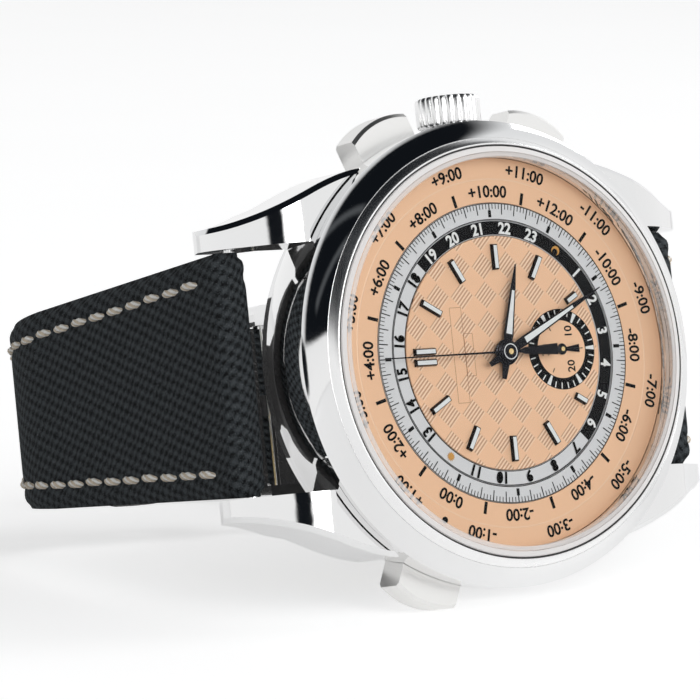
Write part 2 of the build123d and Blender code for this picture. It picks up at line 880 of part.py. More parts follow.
with BuildPart() as counter_wheel:
    with BuildSketch(Plane.XY.offset(chrono_wheel_top - wheel_thickness)):
        with Locations(counter_place):
            Polygon(*toothed_outline(counter_wheel_radius, counter_wheel_teeth), align=None)
            Circle(counter_wheel_radius - wheel_rim_width, mode=Mode.SUBTRACT)
            with PolarLocations(0, wheel_spoke_count):
                Rectangle(counter_wheel_radius * 2 - wheel_rim_width, spoke_width)
            Circle(counter_hub_radius)
    extrude(amount=wheel_thickness)
    with BuildSketch(Plane.XY.offset(chrono_wheel_top)):
        with Locations(counter_place):
            Circle(counter_shaft_radius)
    extrude(amount=counter_hand_height + shaft_cap - chrono_wheel_top)
keep(counter_wheel, "counter_wheel")

with BuildPart() as ratchet_wheel:
    with BuildSketch(Plane.XY.offset(bridge_bottom - ratchet_seat - ratchet_thickness)):
        with Locations(barrel_place):
            Polygon(*toothed_outline(ratchet_radius, ratchet_teeth), align=None)
    extrude(amount=ratchet_thickness)
    with BuildSketch(Plane.XY.offset(bridge_bottom - ratchet_seat)):
        with Locations(barrel_place):
            Circle(pivot_radius)
    extrude(amount=bridge_thickness)
    with BuildSketch(Plane.XY.offset(bridge_bottom - ratchet_seat - ratchet_thickness)):
        with Locations(barrel_place):
            Circle(screw_radius)
    extrude(amount=-screw_height)
keep(ratchet_wheel, "ratchet_wheel")

with BuildPart() as column_wheel:
    with BuildSketch(Plane.XY.offset(bridge_bottom - ratchet_seat - wheel_thickness)):
        with Locations(column_place):
            Polygon(*toothed_outline(column_wheel_radius, column_wheel_teeth), align=None)
    extrude(amount=wheel_thickness)
    with BuildSketch(Plane.XY.offset(bridge_bottom - ratchet_seat - wheel_thickness)):
        with Locations(column_place):
            with PolarLocations(column_wheel_radius * column_ring_share, column_count):
                Rectangle(
                    column_wheel_radius * column_length_share,
                    column_wheel_radius * column_width_share,
                )
            Circle(column_wheel_radius * column_core_share)
    extrude(amount=-column_height)
    with BuildSketch(Plane.XY.offset(bridge_bottom - ratchet_seat)):
        with Locations(column_place):
            Circle(pivot_radius)
    extrude(amount=bridge_thickness)
keep(column_wheel, "column_wheel")

# Chronograph bridge: a bent arm over the two wheels, and the seat of the rotor bearing
chrono_bridge_top = bridge_bottom - chrono_bridge_rise
chrono_bridge_bottom = chrono_bridge_top - chrono_bridge_thickness
chrono_arm_reach = chrono_wheel_radius + column_distance - column_wheel_radius
chrono_bridge_foot = spot(chrono_arm_reach, chrono_foot_angle)
chrono_bridge_end = spot(chrono_arm_reach, chrono_end_angle)
with BuildPart() as chronograph_bridge:
    with BuildSketch(Plane.XY.offset(chrono_bridge_bottom)):
        Circle(bearing_radius * chrono_hub_share)
        for end in (chrono_bridge_foot, chrono_bridge_end):
            with BuildLine():
                arm = Line((0, 0), end)
            trace(arm, chrono_bridge_width)
            with Locations(end):
                Circle(chrono_bridge_width / 2)
    extrude(amount=chrono_bridge_thickness)
    with BuildSketch(Plane.XY.offset(chrono_bridge_top)):
        with Locations(chrono_bridge_foot, chrono_bridge_end):
            Circle(chrono_bridge_width / 2)
    extrude(amount=chrono_bridge_rise)
keep(chronograph_bridge, "chronograph_bridge")

# Balance and its cock
balance_middle = bridge_bottom + bridge_thickness * balance_height_share
cock_top = bridge_bottom
with BuildPart() as balance_wheel:
    with BuildSketch(Plane.XY.offset(balance_middle - balance_rim_height / 2)):
        with Locations(balance_place):
            Circle(balance_radius)
            Circle(balance_radius - balance_rim_width, mode=Mode.SUBTRACT)
            with PolarLocations(0, balance_arm_count, angular_range=half_turn_angle):
                Rectangle(balance_radius * 2 - balance_rim_width, spoke_width)
            Circle(arbor_radius * 2)
    extrude(amount=balance_rim_height)
    with BuildSketch(Plane.XY.offset(cock_top - cock_thickness / 2)):
        with Locations(balance_place):
            Circle(balance_staff_radius)
    extrude(amount=plate_bottom + main_plate_thickness / 2 - cock_top + cock_thickness / 2)
keep(balance_wheel, "balance_wheel")

with BuildPart() as balance_cock:
    with BuildSketch(Plane.XY.offset(cock_top - cock_thickness)):
        with BuildLine():
            arm = Line(cock_foot, balance_place)
        trace(arm, cock_width)
        with Locations(cock_foot, balance_place):
            Circle(cock_width / 2)
        Circle(movement_radius - holder_gap, mode=Mode.INTERSECT)
        with Locations(balance_place):
            Circle(jewel_radius, mode=Mode.SUBTRACT)
    extrude(amount=cock_thickness)
    with BuildSketch(Plane.XY.offset(cock_top)):
        with Locations(cock_foot):
            Circle(bridge_foot_radius)
    extrude(amount=plate_bottom - cock_top)
keep(balance_cock, "balance_cock")

with BuildPart() as balance_jewel:
    with BuildSketch(Plane.XY.offset(cock_top - cock_thickness)):
        with Locations(balance_place):
            Circle(jewel_radius)
    extrude(amount=cock_thickness)
    with BuildSketch(Plane.XY.offset(cock_top - cock_thickness / 2 - running_gap)):
        with Locations(balance_place):
            Circle(balance_staff_radius + running_gap)
    extrude(amount=cock_thickness, mode=Mode.SUBTRACT)
keep(balance_jewel, "balance_jewel")



def rotor_sector():
    """Keep only the half of the open sketch that the rotor fills, hanging towards 9 o'clock."""
    reach = rotor_radius * 3
    first = rotor_rest_angle - rotor_sweep_angle / 2
    last = rotor_rest_angle + rotor_sweep_angle / 2
    Polygon(
        (0, 0),
        spot(reach, first),
        spot(reach, (first + rotor_rest_angle) / 2),
        spot(reach, (last + rotor_rest_angle) / 2),
        spot(reach, last),
        align=None,
        mode=Mode.INTERSECT,
    )


# Rotor on its ball bearing
rotor_top = min(chrono_bridge_bottom, cock_top - cock_thickness) - rotor_clearance
bearing_bottom = rotor_top - rotor_rim_height
with BuildPart() as rotor_bearing:
    with BuildSketch(Plane.XY.offset(chrono_bridge_bottom)):
        Circle(bearing_radius)
    extrude(amount=bearing_bottom - chrono_bridge_bottom)
keep(rotor_bearing, "rotor_bearing")

with BuildPart() as rotor:
    with BuildSketch(Plane.XY.offset(rotor_top - rotor_web_thickness)):
        Circle(rotor_radius)
        rotor_sector()
        Circle(rotor_hub_radius)
        Circle(bearing_radius + running_gap, mode=Mode.SUBTRACT)
    extrude(amount=rotor_web_thickness)
    with BuildSketch(Plane.XY.offset(rotor_top - rotor_rim_height)):
        Circle(rotor_radius)
        Circle(rotor_radius - rotor_rim_width, mode=Mode.SUBTRACT)
        rotor_sector()
    extrude(amount=rotor_rim_height)
    with BuildSketch(Plane.XY.offset(rotor_top - bearing_height)):
        ring(rotor_hub_radius, bearing_radius + running_gap)
    extrude(amount=bearing_height)
keep(rotor, "rotor")

# Case back: a screwed ring with key slots round a sapphire window
with BuildPart() as case_back_ring:
    with BuildSketch(Plane.XZ):
        Polygon(
            (back_glass_radius, case_bottom),
            (back_radius, case_bottom),
            (back_radius, back_face + back_edge_chamfer),
            (back_radius - back_edge_chamfer, back_face),
            (back_glass_radius - back_lip_width, back_face),
            (back_glass_radius - back_lip_width, back_face + back_lip_depth),
            (back_glass_radius, back_face + back_lip_depth),
            align=None,
        )
    revolve(axis=Axis.Z)
    with BuildSketch(Plane.XY.offset(case_bottom)):
        ring(back_gasket_radius, back_gasket_radius - back_gasket_width)
    extrude(amount=-back_gasket_width, mode=Mode.SUBTRACT)
    with BuildSketch(Plane.XY.offset(back_face)):
        with PolarLocations(back_radius, key_slot_count):
            Rectangle(key_slot_width, key_slot_width)
    extrude(amount=key_slot_depth, mode=Mode.SUBTRACT)
keep(case_back_ring, "case_back_ring")

with BuildPart() as case_back_gasket:
    with BuildSketch(Plane.XY.offset(case_bottom)):
        ring(back_gasket_radius, back_gasket_radius - back_gasket_width)
    extrude(amount=-back_gasket_width)
keep(case_back_gasket, "case_back_gasket")

with BuildPart() as back_glass:
    with BuildSketch(Plane.XY.offset(back_face + back_lip_depth)):
        Circle(back_glass_radius)
    extrude(amount=back_glass_thickness)
keep(back_glass, "back_glass")

# Crown tube, crown with its stem, and the setting lever in the stem's groove
with BuildPart() as crown_tube:
    with BuildSketch(Plane.YZ.offset(cavity_radius)):
        with Locations((0, stem_height)):
            Circle(tube_radius)
            Circle(stem_radius + running_gap, mode=Mode.SUBTRACT)
    extrude(amount=flank_middle_radius - cavity_radius)
keep(crown_tube, "crown_tube")

crown_start = flank_middle_radius + crown_standoff
stem_groove_start = stem_end + stem_groove_offset
with BuildPart() as crown:
    with BuildSketch(Plane.YZ.offset(crown_start)):
        with Locations((0, stem_height)):
            Circle(crown_radius)
    extrude(amount=crown_length)
    chamfer(crown.edges().filter_by(GeomType.CIRCLE), crown_chamfer)
    with BuildSketch(Plane.YZ.offset(crown_start - overrun)):
        with Locations((0, stem_height)):
            with PolarLocations(crown_radius, crown_flute_count):
                Rectangle(crown_flute_depth * 2, crown_flute_depth)
    extrude(amount=crown_length + overrun * 2, mode=Mode.SUBTRACT)
    with BuildSketch(Plane.YZ.offset(stem_end)):
        with Locations((0, stem_height)):
            Circle(stem_radius)
    extrude(amount=crown_start - stem_end)
    with BuildSketch(Plane.YZ.offset(stem_groove_start)):
        with Locations((0, stem_height)):
            Circle(stem_radius + overrun)
            Circle(stem_groove_radius, mode=Mode.SUBTRACT)
    extrude(amount=stem_groove_width, mode=Mode.SUBTRACT)
keep(crown, "crown")

with BuildPart() as setting_lever:
    lever_thickness = stem_groove_width - running_gap * 2
    lever_top = plate_bottom - running_gap
    with BuildSketch(Plane.YZ.offset(stem_groove_start + running_gap)):
        with Locations((0, (lever_top + stem_height - stem_radius) / 2)):
            Rectangle(lever_width, lever_top - stem_height + stem_radius)
        with Locations((0, stem_height)):
            Circle(stem_groove_radius + running_gap, mode=Mode.SUBTRACT)
        with Locations((0, stem_height - stem_radius)):
            Rectangle((stem_groove_radius + running_gap) * 2, stem_radius * 2, mode=Mode.SUBTRACT)
    extrude(amount=lever_thickness)
keep(setting_lever, "setting_lever")


def make_pusher(angle, label):
    """A pusher cap with a bowed outer face and a round stem, pointing out at an angle."""
    cap_start = flank_middle_radius - pusher_seat
    corner_reach = flank_middle_radius + pusher_rise
    half_width = pusher_width / 2
    with BuildPart() as pusher:
        with BuildSketch(turned(angle, stem_height - pusher_height / 2)):
            with BuildLine():
                outer = ThreePointArc(
                    (corner_reach, -half_width),
                    (corner_reach + pusher_bow, 0),
                    (corner_reach, half_width),
                )
                Polyline(outer @ 1, (cap_start, half_width), (cap_start, -half_width), outer @ 0)
            make_face()
        extrude(amount=pusher_height)
        chamfer(pusher.edges().filter_by(GeomType.CIRCLE), pusher_edge)
        stem_plane = Plane(
            origin=(*spot(pusher_stem_end, angle), stem_height),
            x_dir=(0, 0, 1),
            z_dir=(*spot(1, angle), 0),
        )
        with BuildSketch(stem_plane):
            Circle(pusher_stem_radius)
        extrude(amount=cap_start - pusher_stem_end)
    keep(pusher, label)


make_pusher(pusher_spread_angle, "start_pusher")
make_pusher(-pusher_spread_angle, "return_pusher")
make_pusher(half_turn_angle - pusher_spread_angle, "zone_pusher")


class StrapPath:
    """The outer face of one strap half, seen from the side: straight, bent inwards, then straight again.

    side is 1 towards 12 o'clock and -1 towards 6. A place is a distance along the strap and a depth
    below its outer face, and comes back as coordinates on the Y-Z plane.
    """

    def __init__(self, side, splay, straight, bend_radius, bend_angle, tail, thickness):
        self.side = side
        self.start_angle = -radians(splay)
        self.straight = straight
        self.bend_radius = bend_radius
        self.bend = radians(bend_angle)
        self.tail = tail
        self.thickness = thickness
        self.bend_end = straight + bend_radius * self.bend
        self.length = self.bend_end + tail

    def out(self, angle):
        return (self.side * cos(angle), -sin(angle))

    def along(self, angle):
        return (-self.side * sin(angle), -cos(angle))

    def angle_at(self, distance):
        turned_by = min(max(distance - self.straight, 0) / self.bend_radius, self.bend)
        return self.start_angle + turned_by

    def face(self, distance):
        """The place on the outer face at a distance along it."""
        first_out = self.out(self.start_angle)
        first_along = self.along(self.start_angle)
        start = (
            self.side * bar_place[0] + strap_nose_radius * first_out[0],
            bar_place[1] + strap_nose_radius * first_out[1],
        )
        run = min(distance, self.straight)
        y = start[0] + run * first_along[0]
        z = start[1] + run * first_along[1]
        if distance > self.straight:
            angle = self.angle_at(distance)
            y += self.bend_radius * (self.out(angle)[0] - first_out[0])
            z += self.bend_radius * (self.out(angle)[1] - first_out[1])
        if distance > self.bend_end:
            rest = distance - self.bend_end
            last_along = self.along(self.start_angle + self.bend)
            y += rest * last_along[0]
            z += rest * last_along[1]
        return (y, z)

    def thickness_at(self, distance):
        full = strap_nose_radius * 2
        share = min(distance / self.straight, 1)
        return full + (self.thickness - full) * share

    def place(self, distance, depth_share):
        y, z = self.face(distance)
        out = self.out(self.angle_at(distance))
        depth = self.thickness_at(distance) * depth_share
        return (y - out[0] * depth, z - out[1] * depth)

    def plane(self, distance, depth_share):
        """A plane on the strap: X across it, Y along it, Z out of its outer face."""
        y, z = self.place(distance, depth_share)
        out = self.out(self.angle_at(distance))
        return Plane(origin=(0, y, z), x_dir=(self.side, 0, 0), z_dir=(0, out[0], out[1]))


short_path = StrapPath(
    1, 0, short_strap_straight, short_strap_bend_radius, short_strap_bend_angle, short_strap_tail,
    short_strap_thickness,
)
long_path = StrapPath(
    -1, long_strap_splay_angle, long_strap_straight, long_strap_bend_radius, long_strap_bend_angle,
    long_strap_tail, long_strap_thickness,
)


def strap_layer(path, start, end, upper_share, lower_share):
    """The side view of a layer of a strap half between two depths, drawn in the sketch that is open."""
    bend_middle = (path.straight + path.bend_end) / 2
    with BuildLine() as outline:
        Line(path.place(start, upper_share), path.place(path.straight, upper_share))
        ThreePointArc(
            path.place(path.straight, upper_share),
            path.place(bend_middle, upper_share),
            path.place(path.bend_end, upper_share),
        )
        Polyline(
            path.place(path.bend_end, upper_share),
            path.place(end, upper_share),
            path.place(end, lower_share),
            path.place(path.bend_end, lower_share),
        )
        ThreePointArc(
            path.place(path.bend_end, lower_share),
            path.place(bend_middle, lower_share),
            path.place(path.straight, lower_share),
        )
        Polyline(
            path.place(path.straight, lower_share),
            path.place(start, lower_share),
            path.place(start, upper_share),
        )
    make_face(outline.edges())


def narrow(path):
    """Taper the open part from the lugs to the far end of its bend, seen square on."""
    waist = path.straight + path.bend_radius * path.bend * strap_waist_share
    right_side = [
        (strap_end_width / 2, bar_place[1] + strap_nose_radius + overrun),
        (strap_end_width / 2, bar_place[1]),
        (strap_bend_width / 2, path.face(path.straight)[1]),
        (strap_waist_width / 2, path.face(waist)[1]),
        (strap_buckle_width / 2, path.face((path.straight + path.bend_end) / 2)[1]),
        (strap_buckle_width / 2, path.face(path.bend_end)[1] - path.bend_radius),
    ]
    left_side = [(-x, z) for x, z in reversed(right_side)]
    with BuildSketch(Plane.XZ) as front_view:
        Polygon(*right_side, *left_side, align=None)
    extrude(front_view.sketch, amount=path.length, both=True, mode=Mode.INTERSECT)


def make_strap_half(path, face_label, lining_label):
    """The padded fabric layer, which wraps its bars, and the leather lining behind it."""
    bar_here = (path.side * bar_place[0], bar_place[1])
    end_nose = path.thickness / 2
    face_end = path.length if path.side < 0 else path.length - end_nose
    lining_end = path.length if path.side < 0 else path.length - end_nose * 2
    with BuildPart() as face_layer:
        with BuildSketch(Plane.YZ):
            strap_layer(path, 0, face_end, 0, 1 - lining_share)
            Polygon(
                path.place(0, 0),
                path.place(strap_nose_radius, 0),
                path.place(strap_nose_radius, 1),
                path.place(0, 1),
                align=None,
            )
            with Locations(bar_here):
                Circle(strap_nose_radius)
                Circle(bar_radius + running_gap, mode=Mode.SUBTRACT)
            if path.side > 0:
                Polygon(
                    path.place(lining_end, 0),
                    path.place(face_end, 0),
                    path.place(face_end, 1),
                    path.place(lining_end, 1),
                    align=None,
                )
                with Locations(path.place(face_end, strap_middle_share)):
                    Circle(end_nose)
                    Circle(buckle_bar_radius + running_gap, mode=Mode.SUBTRACT)
        extrude(amount=strap_end_width, both=True)
        narrow(path)
        strap_ending(path)
    keep(face_layer, face_label)
    with BuildPart() as lining:
        with BuildSketch(Plane.YZ):
            strap_layer(path, strap_nose_radius, lining_end, 1 - lining_share, 1)
        extrude(amount=strap_end_width, both=True)
        narrow(path)
        strap_ending(path)
    keep(lining, lining_label)


def strap_ending(path):
    """Cut the open part's far end: a slot for the buckle tongue, or a row of holes and a round tip."""
    reach = path.thickness * 2
    if path.side > 0:
        with BuildSketch(path.plane(path.length, 0)) as slot:
            Rectangle(tongue_width + tongue_slot_gap * 2, tongue_slot_length)
        extrude(slot.sketch, amount=reach, both=True, mode=Mode.SUBTRACT)
        return
    for number in range(strap_hole_count):
        hole_distance = path.length - strap_hole_inset - number * strap_hole_spacing
        with BuildSketch(path.plane(hole_distance, 0)) as hole:
            Circle(strap_hole_radius)
        extrude(hole.sketch, amount=reach, both=True, mode=Mode.SUBTRACT)
    with BuildSketch(path.plane(path.length, 0)) as tip_corners:
        with Locations((0, -long_strap_tip_radius / 2)):
            Rectangle(strap_end_width, long_strap_tip_radius)
        with BuildLine():
            half_buckle = strap_buckle_width / 2
            left_end = (-half_buckle, -long_strap_tip_radius)
            right_end = (half_buckle, -long_strap_tip_radius)
            ThreePointArc(left_end, (0, 0), right_end)
            Line(right_end, left_end)
        make_face(mode=Mode.SUBTRACT)
    extrude(tip_corners.sketch, amount=reach, both=True, mode=Mode.SUBTRACT)


make_strap_half(short_path, "short_strap_face", "short_strap_lining")
make_strap_half(long_path, "long_strap_face", "long_strap_lining")


def make_spring_bar(side, label):
    """A bar between two lugs with a thin pivot at each end."""
    half_bar = lug_gap / 2 - strap_side_gap / 2
    with BuildPart() as spring_bar:
        with BuildSketch(Plane.YZ):
            with Locations((side * bar_place[0], bar_place[1])):
                Circle(bar_radius)
        extrude(amount=half_bar, both=True)
        with BuildSketch(Plane.YZ):
            with Locations((side * bar_place[0], bar_place[1])):
                Circle(bar_pivot_radius)
        extrude(amount=lug_gap / 2 + bar_pivot_length, both=True)
    keep(spring_bar, label)


make_spring_bar(1, "spring_bar_12")
make_spring_bar(-1, "spring_bar_6")

# Keepers: a fixed and a sliding loop round the short half
keeper_inner_depth = short_strap_thickness + long_strap_thickness + keeper_room * 2


def make_keeper(inset, label):
    """A flat loop round the strap, with room for the long half behind it."""
    inner_width = strap_buckle_width + keeper_room * 2
    with BuildPart() as keeper:
        middle = short_path.plane(short_path.length - inset, 0)
        loop_plane = Plane(origin=middle.origin, x_dir=middle.x_dir, z_dir=middle.y_dir)
        with BuildSketch(loop_plane):
            out_sign = 1 if loop_plane.y_dir.dot(middle.z_dir) > 0 else -1
            inner_middle = out_sign * (keeper_inner_depth / 2 - short_strap_thickness - keeper_room / 2)
            with Locations((0, inner_middle)):
                RectangleRounded(
                    inner_width + keeper_thickness * 2,
                    keeper_inner_depth + keeper_thickness * 2,
                    keeper_corner_radius,
                )
                Rectangle(inner_width, keeper_inner_depth, mode=Mode.SUBTRACT)
        extrude(amount=keeper_width / 2, both=True)
    keep(keeper, label)


make_keeper(fixed_keeper_inset, "fixed_keeper")
make_keeper(sliding_keeper_inset, "sliding_keeper")

# Tang buckle on its own spring bar in the end of the short half
buckle_inner_width = strap_buckle_width + buckle_side_gap * 2
buckle_plane = short_path.plane(short_path.length - short_strap_thickness / 2, strap_middle_share)
buckle_side = Plane(origin=buckle_plane.origin, x_dir=buckle_plane.y_dir, z_dir=buckle_plane.x_dir)
with BuildPart() as buckle_bar:
    with BuildSketch(buckle_side):
        Circle(buckle_bar_radius)
    extrude(amount=buckle_inner_width / 2, both=True)
keep(buckle_bar, "buckle_bar")

with BuildPart() as buckle_frame:
    with BuildSketch(buckle_plane):
        with Locations((0, (buckle_length - buckle_wire_radius) / 2)):
            RectangleRounded(
                buckle_inner_width + buckle_wire_radius * 4,
                buckle_length + buckle_wire_radius,
                buckle_wire_radius,
            )
        with Locations((0, buckle_length / 2 - buckle_wire_radius * 2)):
            Rectangle(buckle_inner_width, buckle_length, mode=Mode.SUBTRACT)
    extrude(amount=buckle_wire_radius, both=True)
keep(buckle_frame, "buckle_frame")

with BuildPart() as buckle_tongue:
    knee = buckle_length - buckle_wire_radius * 4
    tongue_end = buckle_length + buckle_wire_radius * tongue_overhang_share
    rest_height = buckle_wire_radius + running_gap
    with BuildSketch(buckle_side):
        Circle(tongue_hub_radius)
        Polygon(
            (0, tongue_hub_radius - tongue_thickness),
            (knee, rest_height),
            (tongue_end, rest_height),
            (tongue_end, rest_height + tongue_thickness * tongue_tip_share),
            (knee, rest_height + tongue_thickness),
            (0, tongue_hub_radius),
            align=None,
        )
        Circle(buckle_bar_radius + running_gap, mode=Mode.SUBTRACT)
    extrude(amount=tongue_width / 2, both=True)
keep(buckle_tongue, "buckle_tongue")

# Lay the watch down: 3 o'clock up, 12 o'clock along -X, the dial facing -Y and tipped up a little
tilt = radians(lying_angle)
lying_plane = Plane(origin=(0, 0, 0), x_dir=(0, sin(tilt), cos(tilt)), z_dir=(0, -cos(tilt), sin(tilt)))
tipped = [piece.moved(lying_plane.location) for piece in pieces]
boxes = [piece.bounding_box() for piece in tipped]
low = Vector(
    min(box.min.X for box in boxes),
    min(box.min.Y for box in boxes),
    min(box.min.Z for box in boxes),
)
high = Vector(
    max(box.max.X for box in boxes),
    max(box.max.Y for box in boxes),
    max(box.max.Z for box in boxes),
)
stand = Location((-(low.X + high.X) / 2, -(low.Y + high.Y) / 2, -low.Z))
for piece, laid in zip(pieces, tipped):
    placed = laid.moved(stand)
    placed.label = piece.label
    export_step(placed, f"parts/{piece.label}.step")
    print(piece.label, round(placed.volume, 3))

print("dial centre lies at", stand.position)
print("box size", high - low)
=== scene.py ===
# %% [markdown]
# # A world time wristwatch
#
# This notebook dresses a steel wristwatch that was modelled in CAD. The CAD pieces arrive as a fixed
# frame that nothing here moves. What CAD draws well, such as the case, stays and gets a material. What
# needs a finer form, such as printed numerals, hands, woven cloth or stitches, is modelled here in mesh
# code and rides on the CAD piece that carries it.

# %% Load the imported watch
import math
import random

import bmesh
import bpy
from mathutils import Matrix, Vector


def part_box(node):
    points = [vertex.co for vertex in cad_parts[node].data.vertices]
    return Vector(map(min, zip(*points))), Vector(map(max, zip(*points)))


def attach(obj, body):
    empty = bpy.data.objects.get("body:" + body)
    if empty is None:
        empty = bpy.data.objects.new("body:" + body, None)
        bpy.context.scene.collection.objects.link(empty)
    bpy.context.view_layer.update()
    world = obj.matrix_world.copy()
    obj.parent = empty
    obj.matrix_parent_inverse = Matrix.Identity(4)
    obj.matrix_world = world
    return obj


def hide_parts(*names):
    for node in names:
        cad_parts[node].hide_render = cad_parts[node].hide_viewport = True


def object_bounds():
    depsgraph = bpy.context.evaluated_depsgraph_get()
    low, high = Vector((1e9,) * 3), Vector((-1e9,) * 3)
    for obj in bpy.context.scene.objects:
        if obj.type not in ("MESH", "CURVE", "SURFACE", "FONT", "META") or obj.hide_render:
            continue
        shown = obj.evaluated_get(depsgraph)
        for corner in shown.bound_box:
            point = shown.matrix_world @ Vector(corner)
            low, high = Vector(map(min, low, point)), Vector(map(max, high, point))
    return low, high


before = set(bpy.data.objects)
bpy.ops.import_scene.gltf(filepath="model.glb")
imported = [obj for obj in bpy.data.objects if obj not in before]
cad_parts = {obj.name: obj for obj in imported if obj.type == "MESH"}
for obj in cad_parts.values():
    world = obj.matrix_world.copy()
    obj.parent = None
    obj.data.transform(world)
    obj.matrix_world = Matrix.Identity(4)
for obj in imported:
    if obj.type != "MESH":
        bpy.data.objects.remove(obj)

cad_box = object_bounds()

# %% [markdown]
# ## A workbench in watch millimetres
#
# The watch lies on the side of its case, so its dial faces sideways. Modelling is easier on a flat
# dial: X points to 3 o'clock, Y to 12 o'clock, Z out of the dial, and one unit is a millimetre. One
# matrix then lays each finished mesh down where the real dial is. Heights count from the dial's surface,
# which lies a little above the middle of the CAD zone ring.

# %% From watch millimetres to the table
MM = 0.001
LEAN = math.radians(11.7)
TO_THREE = Vector((0, math.sin(LEAN), math.cos(LEAN)))
TO_TWELVE = Vector((-1, 0, 0))
OUTWARD = Vector((0, -math.cos(LEAN), math.sin(LEAN)))
RING_MIDDLE = 0.3

low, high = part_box("zone_ring")
dial_centre = (low + high) / 2 + OUTWARD * RING_MIDDLE * MM
turn = Matrix((TO_THREE, TO_TWELVE, OUTWARD)).transposed().to_4x4()
WATCH = Matrix.Translation(dial_centre) @ turn @ Matrix.Scale(MM, 4)
print("dial centre", [round(x / MM, 3) for x in dial_centre], "mm")


def hour_angle(hour):
    """The angle of an hour, 0 to 12, counted from X as mathematics does."""
    return math.pi / 2 - hour * math.pi / 6


def around(radius, hour):
    """A place on the dial by its distance from the centre and its hour."""
    return Vector((radius * math.cos(hour_angle(hour)), radius * math.sin(hour_angle(hour)), 0))


def toward(hour):
    """The matrix that points a piece drawn along +X at an hour."""
    return Matrix.Rotation(hour_angle(hour), 4, "Z")


# %% [markdown]
# ## A small language for materials
#
# A node material is a sum written with boxes and wires. The sums read better as Python, so a `Shade`
# wraps the output of a node and lets `1 - mask` or `a * b` add the Math node for it. A `Finish` holds
# the node tree and makes every other node with one method.


# %% Shades
class Shade:
    """A value that comes out of a node and can be used in sums."""

    def __init__(self, finish, socket):
        self.finish = finish
        self.socket = socket

    def sum(self, operation, *values):
        """Add a Math node that works on numbers or shades."""
        return self.finish.node("Math", {"operation": operation}, dict(enumerate(values)))

    def __add__(self, other):
        return self.sum("ADD", self, other)

    __radd__ = __add__

    def __mul__(self, other):
        return self.sum("MULTIPLY", self, other)

    __rmul__ = __mul__

    def __sub__(self, other):
        return self.sum("SUBTRACT", self, other)

    def __rsub__(self, other):
        return self.sum("SUBTRACT", other, self)

    def __truediv__(self, other):
        return self.sum("DIVIDE", self, other)

    def __mod__(self, other):
        return self.sum("FLOORED_MODULO", self, other)

    def __pow__(self, other):
        return self.sum("POWER", self, other)

    def __abs__(self):
        return self.sum("ABSOLUTE", self)

    def sine(self):
        return self.sum("SINE", self)

    def floor(self):
        return self.sum("FLOOR", self)

    def larger(self, other):
        return self.sum("MAXIMUM", self, other)

    def between(self, start, end):
        """0 below start, 1 above end, and a soft step in between. It can run downwards too."""
        inputs = {"Value": self, "From Min": start, "From Max": end}
        if start > end:
            inputs = {"Value": self, "From Min": end, "From Max": start, "To Min": 1, "To Max": 0}
        return self.finish.node("MapRange", {"interpolation_type": "SMOOTHSTEP"}, inputs)


# %% Finishes
class Finish:
    """A node tree under construction, for a material or for the world."""

    def __init__(self, name, tree=None):
        self.name = name
        if tree is None:
            self.material = bpy.data.materials.new(name)
            self.material.use_nodes = True
            tree = self.material.node_tree
        self.tree = tree
        self.tree.nodes.clear()

    def node(self, kind, settings=None, inputs=None, output=0):
        """Add a node, set it up, then feed its sockets with values or with other nodes."""
        made = self.tree.nodes.new("ShaderNode" + kind)
        for name, value in (settings or {}).items():
            setattr(made, name, value)
        for name, value in (inputs or {}).items():
            self.feed(made.inputs[name], value)
        return Shade(self, made.outputs[output]) if made.outputs else None

    def feed(self, socket, value):
        """Link a shade to a socket, or set the socket to a number, vector or colour."""
        if isinstance(value, Shade):
            self.tree.links.new(value.socket, socket)
        elif socket.type == "RGBA":
            socket.default_value = (*value, 1)
        else:
            socket.default_value = value

    def on_watch(self):
        """Where a point of the piece is in watch millimetres."""
        place, rotation, scale = WATCH.inverted().decompose()
        inputs = {
            "Vector": self.node("TexCoord", output="Object"),
            "Location": place,
            "Rotation": rotation.to_euler(),
            "Scale": scale,
        }
        return self.node("Mapping", {"vector_type": "POINT"}, inputs)

    def parts(self, vector):
        """The three numbers of a vector."""
        split = self.node("SeparateXYZ", None, {0: vector})
        return [Shade(self, number) for number in split.socket.node.outputs]

    def from_axis(self):
        """How far a point is from the dial's axis, in millimetres."""
        x, y = self.parts(self.on_watch())[:2]
        return (x * x + y * y) ** 0.5

    def join(self, x, y=0, z=0):
        """A vector from three numbers."""
        return self.node("CombineXYZ", None, {0: x, 1: y, 2: z})

    def noise(self, vector, scale, detail=2.0, roughness=0.5):
        """Soft random blotches; a higher detail adds finer ones."""
        inputs = {"Vector": vector, "Scale": scale, "Detail": detail, "Roughness": roughness}
        return self.node("TexNoise", None, inputs)

    def mix(self, factor, first, second):
        """A blend of two colours."""
        return self.node("Mix", {"data_type": "RGBA"}, {0: factor, 6: first, 7: second}, 2)

    def surface(self, height=None, depth=0.0, **sockets):
        """The Principled shader with its sockets, and a bump `depth` millimetres deep."""
        inputs = {}
        for name, value in sockets.items():
            inputs[name.replace("_", " ").title().replace("Ior", "IOR")] = value
        if height is not None:
            bump = {"Height": height, "Distance": depth * MM, "Strength": 1.0}
            inputs["Normal"] = self.node("Bump", None, bump)
        self.show(self.node("BsdfPrincipled", None, inputs))

    def show(self, shader, kind="Material"):
        """End the tree in its output node."""
        self.node("Output" + kind, None, {0: shader})
        print("finish", self.name, "has", len(self.tree.nodes), "nodes")


# %% Colours and simple finishes
def paint(red, green, blue):
    """A colour picked as 0 to 255, as the linear numbers that a shader takes (the sRGB curve)."""
    values = [x / 255 for x in (red, green, blue)]
    return tuple(x / 12.92 if x <= 0.04045 else ((x + 0.055) / 1.055) ** 2.4 for x in values)


